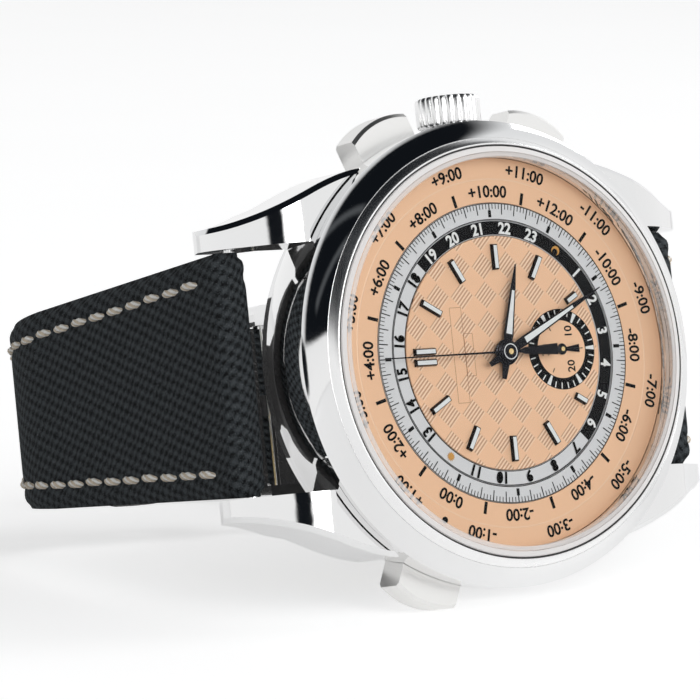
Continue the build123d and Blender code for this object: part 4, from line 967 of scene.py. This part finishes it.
# %% The curve of each strap half
class StrapCurve:
    """The outer face of one strap half seen from the side: straight, bent, straight.

    Distances below zero run round the nose, where the cloth loops over the spring bar. `side` is 1
    for the half at 12 o'clock and -1 for the other one. Angles come in degrees, lengths in millimetres.
    """

    BAR_REACH, BAR_LEVEL = 22.3, -7.9
    NOSE, NARROWING, SLEEVE = 2.3, 1.0, 0.8
    NOSE_THICKNESS = 4.6

    def __init__(self, side, splay, straight, radius, bend, tail, thick):
        self.side = side
        self.start = -math.radians(splay)
        self.straight = straight
        self.radius = radius
        self.bend = math.radians(bend)
        self.thick = thick
        self.bend_end = straight + radius * self.bend
        self.length = self.bend_end + tail
        self.narrow = (straight + self.bend_end) / 2
        waist = straight + radius * self.bend * 0.37
        self.widths = [(0, 21.1)]
        for distance, width in ((straight, 17.9), (waist, 16.6), (self.narrow, 14.8)):
            self.widths.append((self.drop(distance), width))

    def facing(self, angle):
        """Which way the outer face looks."""
        return Vector((0, self.side * math.cos(angle), -math.sin(angle)))

    def along(self, angle):
        """Which way the strap runs."""
        return Vector((0, -self.side * math.sin(angle), -math.cos(angle)))

    def place(self, x, distance, depth):
        """A point by its place across the strap, the distance along it and the depth in it."""
        bar = Vector((x, self.side * self.BAR_REACH, self.BAR_LEVEL))
        if distance < 0:
            turned = -distance / self.NOSE
            radius = self.NOSE - self.NARROWING * math.sin(min(turned, math.pi / 2)) ** 2
            return bar + self.facing(self.start - turned) * (radius - min(depth, radius - self.SLEEVE))
        turned = min(max(distance - self.straight, 0) / self.radius, self.bend)
        angle = self.start + turned
        first = self.facing(self.start)
        point = bar + first * self.NOSE + self.along(self.start) * min(distance, self.straight)
        if distance > self.straight:
            point += (self.facing(angle) - first) * self.radius
        if distance > self.bend_end:
            point += self.along(angle) * (distance - self.bend_end)
        return point - self.facing(angle) * depth

    def drop(self, distance):
        """How far the outer face lies below the spring bar."""
        return self.BAR_LEVEL - self.place(0, distance, 0).z

    def thickness(self, distance):
        """How thick the strap is: full at the nose, thin from the end of its straight on."""
        share = min(max(distance, 0) / self.straight, 1)
        return self.NOSE_THICKNESS + (self.thick - self.NOSE_THICKNESS) * share

    def half_width(self, distance):
        """Half the width, which narrows with the drop below the spring bar."""
        drop = self.drop(distance)
        if distance > self.narrow:
            return self.widths[-1][1] / 2
        if drop <= 0:
            return self.widths[0][1] / 2
        for (drop0, width0), (drop1, width1) in zip(self.widths, self.widths[1:]):
            if drop <= drop1:
                return (width0 + (width1 - width0) * (drop - drop0) / (drop1 - drop0)) / 2
        return self.widths[-1][1] / 2


short_curve = StrapCurve(1, 0, 30, 16.6, 92, 18, 3.2)
long_curve = StrapCurve(-1, 35, 36, 24, 120, 18, 2.8)
print("strap halves are", round(short_curve.length, 1), "and", round(long_curve.length, 1), "mm long")

# %% [markdown]
# ### Cloth
#
# The cloth is a coarse weave of thick dull yarn. A product of two sines gives the over and under of
# the yarns, and a noise added to their phase makes them wander, as hand-spun yarn does. The colour is
# painted lighter on the tops of the yarns and darker in the pits between them, as painted light and
# shade over the bump. A finer noise gives the fibres, and a few pale specks stand for dry ends. All of
# it reads the flat coordinates that the strap keeps as a UV map, so the weave follows the bends.

# %% Strap cloth
YARN_ACROSS, YARN_ALONG, SLANT = 0.5, 0.74, 0.28

cloth = Finish("woven_cloth")
flat = cloth.node("UVMap", {"uv_map": "flat"})
cloth_u, cloth_v = cloth.parts(flat)[:2]
wander = cloth.noise(flat, 0.9, 4, 0.6)
weave_u = (cloth_u + cloth_v * SLANT) * (math.pi / YARN_ACROSS) + wander * 5.0
weave_v = cloth_v * (math.pi / YARN_ALONG) + wander * 4.0
yarn = (weave_u.sine() * weave_v.sine() + 1) * 0.5
fibre = cloth.noise(cloth.join(cloth_u * 2, cloth_v * 2), 3.2, 5, 0.75)
speck = cloth.noise(flat, 6, 2).between(0.60, 0.72)
# The yarn's share of this mask paints its tops lighter and its pits darker, as painted highlight and painted
# shade; the fibre noise is a real tone.
weave_shade_and_fibre = (yarn * 0.55 + fibre * 1.3).between(0.55, 1.25)
shaded_weave = cloth.mix(weave_shade_and_fibre, (0.0045, 0.0048, 0.0055), (0.075, 0.085, 0.092))
cloth.surface(
    base_color=cloth.mix(speck * 0.5, shaded_weave, (0.2, 0.22, 0.23)),
    roughness=0.95,
    specular_ior_level=0.12,
    height=yarn + fibre * 0.8,
    depth=0.2,
)

# %% [markdown]
# ### Thread and lining
#
# The thread is pale waxed linen of three twisted plies. Its map gives the place round the thread and
# along it, and a sine over both draws the plies as slanting lines. The lining is smooth dark leather:
# cells of a Voronoi pattern give its pores and a soft noise its creases.

# %% Stitching thread and lining leather
PLIES = 3
TWIST = 5.5

thread = Finish("linen_thread")
ply_u, ply_v = thread.parts(thread.node("UVMap", {"uv_map": "flat"}))[:2]
strands = (ply_u * (math.tau * PLIES) + ply_v * TWIST).sine()
fuzz = thread.noise(thread.on_watch(), 6, 3)
thread.surface(
    base_color=thread.mix((strands * 0.5 + fuzz).between(0.1, 0.7), paint(212, 198, 178), (0.95, 0.93, 0.89)),
    roughness=0.9,
    specular_ior_level=0.2,
    height=strands,
    depth=0.05,
)

leather = Finish("strap_lining")
cells = {"Vector": leather.on_watch(), "Scale": 2.2}
pores = leather.node("TexVoronoi", {"feature": "DISTANCE_TO_EDGE"}, cells)
creases = leather.noise(leather.on_watch(), 0.9, 4)
leather.surface(
    base_color=leather.mix(creases, (0.012, 0.012, 0.013), (0.03, 0.029, 0.029)),
    roughness=0.5 + creases * 0.2,
    height=pores.between(0, 0.25) + creases * 0.5,
    depth=0.08,
)

# %% [markdown]
# ### Bending the flat strap
#
# `bend_strap` makes a grid whose x runs from -1 to 1 across the strap and whose y is the distance along
# it. The padding is thick in the middle and thins towards the turned-in sides, and the line of stitches
# pulls a shallow gutter into it. The cloth takes the outer 0.68 of the thickness, and the lining lies
# under it.

# %% A padded layer of the strap
STITCH_INSET = 2.2
SEAM = 0.68
COLUMNS = 44
BACK_SHIFT = 3


def padded_depth(curve, across, distance):
    """How deep under the flat face a point of the cloth lies."""
    full = curve.thickness(distance)
    edge = curve.half_width(distance) * (1 - abs(across))
    rounding = 0.35 * math.exp(-((edge / 0.55) ** 2))
    gutter = 0.16 * math.exp(-(((edge - STITCH_INSET) / 0.5) ** 2))
    return min(rounding * full * 0.5 + gutter, full * 0.5)


def bend_strap(
    name, body, curve, start, end, finish, stands_for, wall=(0.0, SEAM), steps=240, tip=None
):
    """A padded layer of a strap half: a flat grid with a back, bent along the curve."""
    bm = bmesh.new()
    bmesh.ops.create_grid(bm, x_segments=COLUMNS, y_segments=steps, size=0.5)
    front = list(bm.faces)
    for corner in bm.verts:
        share = corner.co.x * 2
        corner.co.x = math.copysign(abs(share) ** 0.8, share)
        corner.co.y = start + (corner.co.y + 0.5) * (end - start)
    pulled = bmesh.ops.extrude_face_region(bm, geom=front)["geom"]
    raised = {part for part in pulled if isinstance(part, bmesh.types.BMVert)}
    flat_map = bm.loops.layers.uv.new("flat")
    for face in bm.faces:
        for loop in face.loops:
            x, y = loop.vert.co.x, loop.vert.co.y
            shift = 0 if loop.vert in raised else BACK_SHIFT
            loop[flat_map].uv = (x * (curve.half_width(y) + shift), y)
    for corner in bm.verts:
        across, distance = corner.co.x, corner.co.y
        half = curve.half_width(distance)
        if tip and distance > curve.length - tip:
            reach = (distance - (curve.length - tip)) / tip
            half *= math.sqrt(max(1 - reach ** 2.2, 0.0)) * 0.97 + 0.03
        depth = curve.thickness(distance) * wall[0 if corner in raised else 1]
        if corner in raised and wall[0] == 0:
            depth = padded_depth(curve, across, distance)
        corner.co = curve.place(across * half, distance, depth)
    return settle(name, body, bm, finish, stands_for, sharp=60)


# %% [markdown]
# The cloth runs round the nose, over the spring bar and back under it, so it starts at a distance below
# zero. The lining starts a little past the bar. The tail of the long half is rounded off.

# %% Padded strap halves
CLOTH_START = -5.2
LINING_START = 2.3
LINING_STEPS = 160
LINING_WALL = (SEAM, 1.0)
TIP = 7

short_end = short_curve.length - 1.6
short_cloth = bend_strap(
    "short_cloth", "short_strap", short_curve, CLOTH_START, short_end,
    cloth, ["short_strap_face"],
)
bend_strap(
    "short_lining", "short_strap", short_curve, LINING_START, short_end - 1.6,
    leather, ["short_strap_lining"], LINING_WALL, LINING_STEPS,
)
long_cloth = bend_strap(
    "long_cloth", "long_strap", long_curve, CLOTH_START, long_curve.length,
    cloth, ["long_strap_face"], tip=TIP,
)
bend_strap(
    "long_lining", "long_strap", long_curve, LINING_START, long_curve.length,
    leather, ["long_strap_lining"], LINING_WALL, LINING_STEPS, TIP,
)

# %% [markdown]
# ### Stitches
#
# Each stitch is a short thick thread that dives into the cloth at both ends. It is a circle extruded
# ring by ring; each ring swells towards the middle of the stitch, shows its three plies and is lifted
# out of the gutter. Every stitch is a little longer or shorter and set a little askew, as if by hand.

# %% Rows of stitches
PITCH, STITCH = 3.15, 3.0
THICK = 0.34
SIDES, RINGS = 12, 17
FIRST_STITCH = 3.4


def thread_rings(bm):
    """A tube as a row of rings, still to be placed. Only its last end is closed."""
    circle = bmesh.ops.create_circle(bm, cap_ends=True, segments=SIDES, radius=1)["verts"]
    end_face = circle[0].link_faces[0]
    rings = [circle]
    while len(rings) < RINGS:
        end_face = bmesh.ops.extrude_discrete_faces(bm, faces=[end_face])["faces"][0]
        rings.append(list(end_face.verts))
    return rings


def stitches(name, body, curve, end):
    """Two rows of twisted thread, one stitch at a time."""
    rng = random.Random(11)
    bm = bmesh.new()
    flat_map = bm.loops.layers.uv.new("flat")
    on_thread = {}
    for side in (-1, 1):
        distance = FIRST_STITCH
        while distance < end:
            askew = rng.uniform(-0.06, 0.06)
            length = STITCH + rng.uniform(-0.1, 0.1)
            for level, corners in enumerate(thread_rings(bm)):
                share = level / (RINGS - 1)
                swell = THICK * math.sin(math.pi * (0.08 + 0.84 * share)) ** 0.6
                lift = -0.26 + 0.42 * math.sin(math.pi * share) ** 0.7
                y = (share - 0.5) * length
                half = curve.half_width(distance + y)
                row = side * (half - STITCH_INSET) + askew + y * 0.06
                floor = padded_depth(curve, 1 - STITCH_INSET / half, distance + y)
                for number, corner in enumerate(corners):
                    turned = number * math.tau / SIDES
                    ply = swell * (1 + 0.14 * math.cos(PLIES * turned + share * length * TWIST))
                    on_thread[corner] = (number / SIDES, share * length)
                    depth = floor - (ply * math.sin(turned) * 0.85 + lift)
                    corner.co = curve.place(row + ply * math.cos(turned), distance + y, depth)
            distance += PITCH + rng.uniform(-0.04, 0.04)
    for face in bm.faces:
        for loop in face.loops:
            loop[flat_map].uv = on_thread[loop.vert]
    settle(name, body, bm, thread, sharp=80)


stitches("short_stitches", "short_strap", short_curve, 62)
stitches("long_stitches", "long_strap", long_curve, 96)

# %% [markdown]
# ### Keepers
#
# Two loops hold the tail of the strap. Each is a leather band with puffed faces: its section is carried
# round a rectangle with round corners that fits both strap layers. One is sewn fast by the buckle and
# the other slides.

# %% Keeper loops
KEEPER_HALF, KEEPER_WIDTH = 7.6, 5.0
KEEPER_OUT, KEEPER_IN = -3.1, 3.3
KEEPER_CORNER = 0.6
KEEPER_SECTION = [
    (-0.47, 0.0), (-0.5, 0.1), (-0.5, 0.5), (-0.47, 0.66), (-0.38, 0.76), (0, 0.8),
    (0.38, 0.76), (0.47, 0.66), (0.5, 0.5), (0.5, 0.1), (0.47, 0.0),
]


def keeper(name, body, curve, inset):
    """A loop round the strap, its middle at a distance from the strap's end."""
    side = KEEPER_HALF - KEEPER_CORNER
    outer, inner = KEEPER_OUT + KEEPER_CORNER, KEEPER_IN - KEEPER_CORNER
    rings = []
    for quarter, (across, depth) in enumerate(((side, outer), (-side, outer), (-side, inner), (side, inner))):
        for step in range(7):
            lean = math.pi / 2 * quarter + math.pi / 12 * step
            ring = []
            for share, thick in KEEPER_SECTION:
                reach = KEEPER_CORNER + thick
                out, down = math.cos(lean) * reach, math.sin(lean) * reach
                distance = curve.length - inset + share * KEEPER_WIDTH
                ring.append(curve.place(across + out, distance, depth - down))
            rings.append(ring)
    settle(name + "_band", body, skin(rings, True), leather, [name], sharp=50)


keeper("fixed_keeper", "short_strap", short_curve, 6.5)
keeper("sliding_keeper", "sliding_keeper", short_curve, 15.0)

# %% [markdown]
# ## Crown
#
# The crown has 24 rounded flutes, so that fingers can grip it. One formula gives its radius all the way
# round: the size of a cosine, which is round on top of a flute and sharp between two. The stations run
# from the end of the stem to the crown's cap, and their share says how deep the flutes are there.

# %% Fluted crown
FLUTES = 24
FLUTE_DEPTH = 0.2
CROWN_SIDES = FLUTES * 8
STEM_LEVEL = -4.7
STATIONS = [
    (11.6, 0.0, 0), (11.6, 0.5, 0), (20.4, 0.5, 0), (20.4, 2.3, 0), (20.42, 2.6, 1), (20.55, 2.8, 1),
    (20.75, 2.875, 1), (22.75, 2.875, 1), (22.98, 2.8, 1), (23.1, 2.62, 1), (23.16, 2.3, 0.3),
    (23.19, 1.6, 0), (23.2, 0.0, 0),
]

rings = []
for x, radius, share in STATIONS:
    ring = []
    for side in range(CROWN_SIDES):
        turned = math.tau * side / CROWN_SIDES
        cut = radius - share * FLUTE_DEPTH * (1 - abs(math.cos(turned * FLUTES / 2)))
        ring.append((x, cut * math.cos(turned), STEM_LEVEL + cut * math.sin(turned)))
    rings.append(ring)
fluted = skin(rings, False)
bmesh.ops.remove_doubles(fluted, verts=fluted.verts, dist=1e-4)
settle("fluted_crown", "crown", fluted, bright_steel, ["crown"], sharp=40)

# %% [markdown]
# ## Finishes for the movement
#
# The movement behind the display back keeps its CAD shapes and gets its finishes here. Its bridges are
# plated and striped: the stripes are broad slanting waves that a flat grinding wheel leaves, so a
# sawtooth across the bridge varies colour, roughness and bump together.

# %% Striped bridges
STRIPE = 1.6

striped = Finish("striped_bridge")
bridge_x, bridge_y = striped.parts(striped.on_watch())[:2]
across = bridge_x * 0.8 + bridge_y * 0.6
along = bridge_y * 0.8 - bridge_x * 0.6
wave = (across / STRIPE) % 1
lines = striped.noise(striped.join(across * 8, along * 0.5), 2, 3)
striped.surface(
    base_color=striped.mix(wave, (0.62, 0.61, 0.58), (0.8, 0.79, 0.76)),
    metallic=1.0,
    roughness=0.18 + wave * 0.2,
    height=wave + lines * 0.3,
    depth=0.02,
)

# %% [markdown]
# The wheels are gilt brass. The rotor is heavy gold with turned circles, which a sine of the distance
# from the axis draws. Jewels are red ruby, the screws are blued steel, and the movement holder is dull.

# %% Gilt wheels and rotor
gilt = Finish("gilt_wheel")
gilt_noise = gilt.noise(gilt.on_watch(), 4, 3)
gilt.surface(
    base_color=gilt.mix(gilt_noise, (0.78, 0.55, 0.25), (0.88, 0.66, 0.34)),
    metallic=1.0,
    roughness=0.18 + gilt_noise * 0.15,
    height=gilt_noise,
    depth=0.003,
)

rotor_gold = Finish("rotor_gold")
circles = (rotor_gold.from_axis() * (math.tau / 0.7)).sine()
rotor_gold.surface(
    base_color=rotor_gold.mix((circles + 1) * 0.5, (0.78, 0.58, 0.3), (0.9, 0.7, 0.42)),
    metallic=1.0,
    roughness=0.2 + abs(circles) * 0.12,
    height=circles,
    depth=0.02,
)

# %% Jewels, screws and holder
ruby = mottled("ruby", 3, (0.4, 0.01, 0.06), (0.6, 0.03, 0.12), roughness=0.08, coat_weight=0.6)
blued = mottled("blued_screw", 3, (0.03, 0.05, 0.2), (0.05, 0.1, 0.34), metallic=1.0, roughness=0.15)
holder = mottled("movement_holder", 2, (0.5, 0.5, 0.5), (0.62, 0.62, 0.62), metallic=0.8, roughness=0.4)

# %% [markdown]
# ## Dressing the CAD pieces that stay
#
# Every CAD piece that still shows gets one of the finishes above. Its shape is already right, so only
# its material slots change.

# %% Finishes on CAD pieces
dress(polished, "case_middle", "case_back_ring", "crown_tube", "spring_bar_12", "spring_bar_6",
      "buckle_frame", "buckle_bar", "buckle_tongue")
dress(satin, "start_pusher", "return_pusher", "zone_pusher", "setting_lever", "rotor_bearing",
      "ratchet_wheel", "column_wheel")
dress(back_clear, "back_glass")
dress(rubber, "case_back_gasket")
dress(holder, "movement_holder", "dial_carrier")
dress(striped, "main_plate", "barrel_bridge", "train_bridge", "balance_cock", "chronograph_bridge")
dress(gilt, "barrel", "centre_wheel", "third_wheel", "chronograph_wheel", "counter_wheel", "balance_wheel")
dress(rotor_gold, "rotor")
dress(ruby, "balance_jewel", "train_jewel")
dress(blued, "bridge_screws")

# %% [markdown]
# ## Table
#
# The watch lies on a matt white table. Light Path makes the table glow a little for the camera and for
# rays that come off metal or through glass, so it looks white in the picture and in the steel, while
# the light that falls on the watch stays plain and the shadow stays on the table.

# %% White table
TABLE_GAP = 0.00002

table_finish = Finish("white_table")
to_camera = table_finish.node("LightPath")
kinds = to_camera.socket.node.outputs
off_metal = Shade(table_finish, kinds["Is Glossy Ray"])
through_glass = Shade(table_finish, kinds["Is Transmission Ray"])
seen = to_camera + off_metal + through_glass
mottle = table_finish.noise(table_finish.node("TexCoord", output="Object"), 12, 2)
tone = table_finish.mix(mottle, (0.60, 0.60, 0.60), (0.63, 0.63, 0.63))
matt = table_finish.node("BsdfDiffuse", None, {"Color": tone})
strength = to_camera * 0.12 + seen * 0.5
glow = table_finish.node("Emission", None, {"Color": (1.0, 1.0, 1.0), "Strength": strength})
table_finish.show(table_finish.node("AddShader", None, {0: matt, 1: glow}))

top = bmesh.new()
bmesh.ops.create_grid(top, x_segments=2, y_segments=2, size=3.0)
bmesh.ops.translate(top, verts=top.verts, vec=(0, 0, cad_box[0][2] - TABLE_GAP))
table_mesh = bpy.data.meshes.new("table")
top.to_mesh(table_mesh)
top.free()
table_mesh.materials.append(table_finish.material)
table = bpy.data.objects.new("table", table_mesh)
bpy.context.scene.collection.objects.link(table)

# %% [markdown]
# ## The room that the steel mirrors
#
# Polished steel shows the room and not itself. So the world is a white room with two black cards in it:
# a long one that draws the dark band on the bezel and a small round one that darkens the lugs' flanks.
# A card is a mask on the direction that a ray leaves in. The long card stops short of the directions
# that the tops of the lugs mirror, which keeps them pale, and two faint streaks lie across it.


# %% Cards in a white room
world = bpy.data.worlds.new("studio")
bpy.context.scene.world = world
world.use_nodes = True
room = Finish("studio", world.node_tree)
look = room.node("TexCoord", output="Generated")


def card(middle, half_angle, soft=4):
    """A round card: 1 inside, 0 outside. `middle` is the direction it hangs in."""
    near = room.node("VectorMath", {"operation": "DOT_PRODUCT"}, {0: look, 1: Vector(middle).normalized()}, 1)
    inner = math.cos(math.radians(max(half_angle - soft, 0)))
    outer = math.cos(math.radians(half_angle + soft))
    return near.between(outer, inner)


def strip_card(start, end, half_width, soft=3, fade=3):
    """A long card between two directions."""
    first, last = Vector(start).normalized(), Vector(end).normalized()
    normal = first.cross(last).normalized()
    off = room.node("VectorMath", {"operation": "DOT_PRODUCT"}, {0: look, 1: normal}, 1)
    outer = math.sin(math.radians(half_width + soft))
    inner = math.sin(math.radians(half_width - soft))
    reach = math.degrees(first.angle(last)) / 2
    return abs(off).between(outer, inner) * card(first + last, reach, fade)


# %% The world
upward = room.parts(look)[2]
long_card = strip_card((-0.91, -0.40, 0.10), (0.55, 0.42, 0.76), 32, 3, 7) * upward.between(0.29, 0.34)
round_card = card((-0.46, -0.86, 0.23), 8, 1.5)
streaks = strip_card((-0.72, -0.5, 0.5), (-0.5, 0.1, 0.8), 2.5, 2.5)
streaks = streaks + strip_card((-0.3, -0.6, 0.75), (-0.33, 0.1, 0.93), 2, 2)
gloom = room.mix(streaks * 0.5, (0.006, 0.0075, 0.010), (0.16, 0.17, 0.18))
walls = room.mix(upward.between(0.0, 0.8), (1.0, 1.0, 1.0), (0.86, 0.87, 0.88))
colour = room.mix(long_card.larger(round_card), walls, gloom)
room.show(room.node("Background", None, {"Color": colour, "Strength": 0.95}), "World")

# %% [markdown]
# ## Lamps
#
# Two large soft lamps stand in for the studio: one in front of the dial, and one high on the side of
# 6 o'clock. Both are weak, because the white room already lights the watch.

# %% Lamps
WATCH_MIDDLE = Vector((0, -0.03, 0.02))

for name, place, size, power in (
    ("front", Vector((-0.1, -1.2, 0.5)), 0.6, 4.6),
    ("overhead", Vector((1.05, -0.13, 0.78)), 0.5, 3.5),
):
    lamp_data = bpy.data.lights.new(name, "AREA")
    lamp_data.size = size
    lamp_data.energy = power
    lamp = bpy.data.objects.new(name, lamp_data)
    bpy.context.scene.collection.objects.link(lamp)
    lamp.location = place
    lamp.rotation_euler = (WATCH_MIDDLE - place).to_track_quat("-Z", "Y").to_euler()
    print("lamp", name, "gives", power, "watts")

# %% [markdown]
# ## Camera
#
# The camera stands where the photographer's did: well back, a little above the watch and on the side of
# 12 o'clock, which points left in the picture because the watch lies on its 9 o'clock side. Its place
# and its axes were found by matching points of the dial with the photograph, so they are given in watch
# millimetres.

# %% Camera
EYE = Vector((-27.25, 272.52, 381.37))
RIGHT = Vector((-0.1003, -0.8290, 0.5501))
DOWN = Vector((-0.9931, 0.0493, -0.1068))
AHEAD = Vector((0.0614, -0.5570, -0.8282))

camera_data = bpy.data.cameras.new("camera")
camera_data.sensor_width = 36
camera_data.lens = 277.24
camera_data.clip_start = 0.01
camera = bpy.data.objects.new("camera", camera_data)
bpy.context.scene.collection.objects.link(camera)
axes = Matrix((RIGHT, -DOWN, -AHEAD)).transposed().to_4x4()
camera.matrix_world = Matrix.Translation(WATCH @ EYE) @ turn @ axes
bpy.context.scene.camera = camera
bpy.context.scene.view_settings.view_transform = "Standard"
print("camera looks from", [round(x, 3) for x in camera.matrix_world.translation], "m")

# %% [markdown]
# ## The size of the CAD model
#
# The dressed watch has to keep the size of the CAD model, so the box of the CAD pieces is printed.

# %% Size of the CAD model
print("CAD box", [tuple(round(x, 5) for x in c) for c in cad_box])
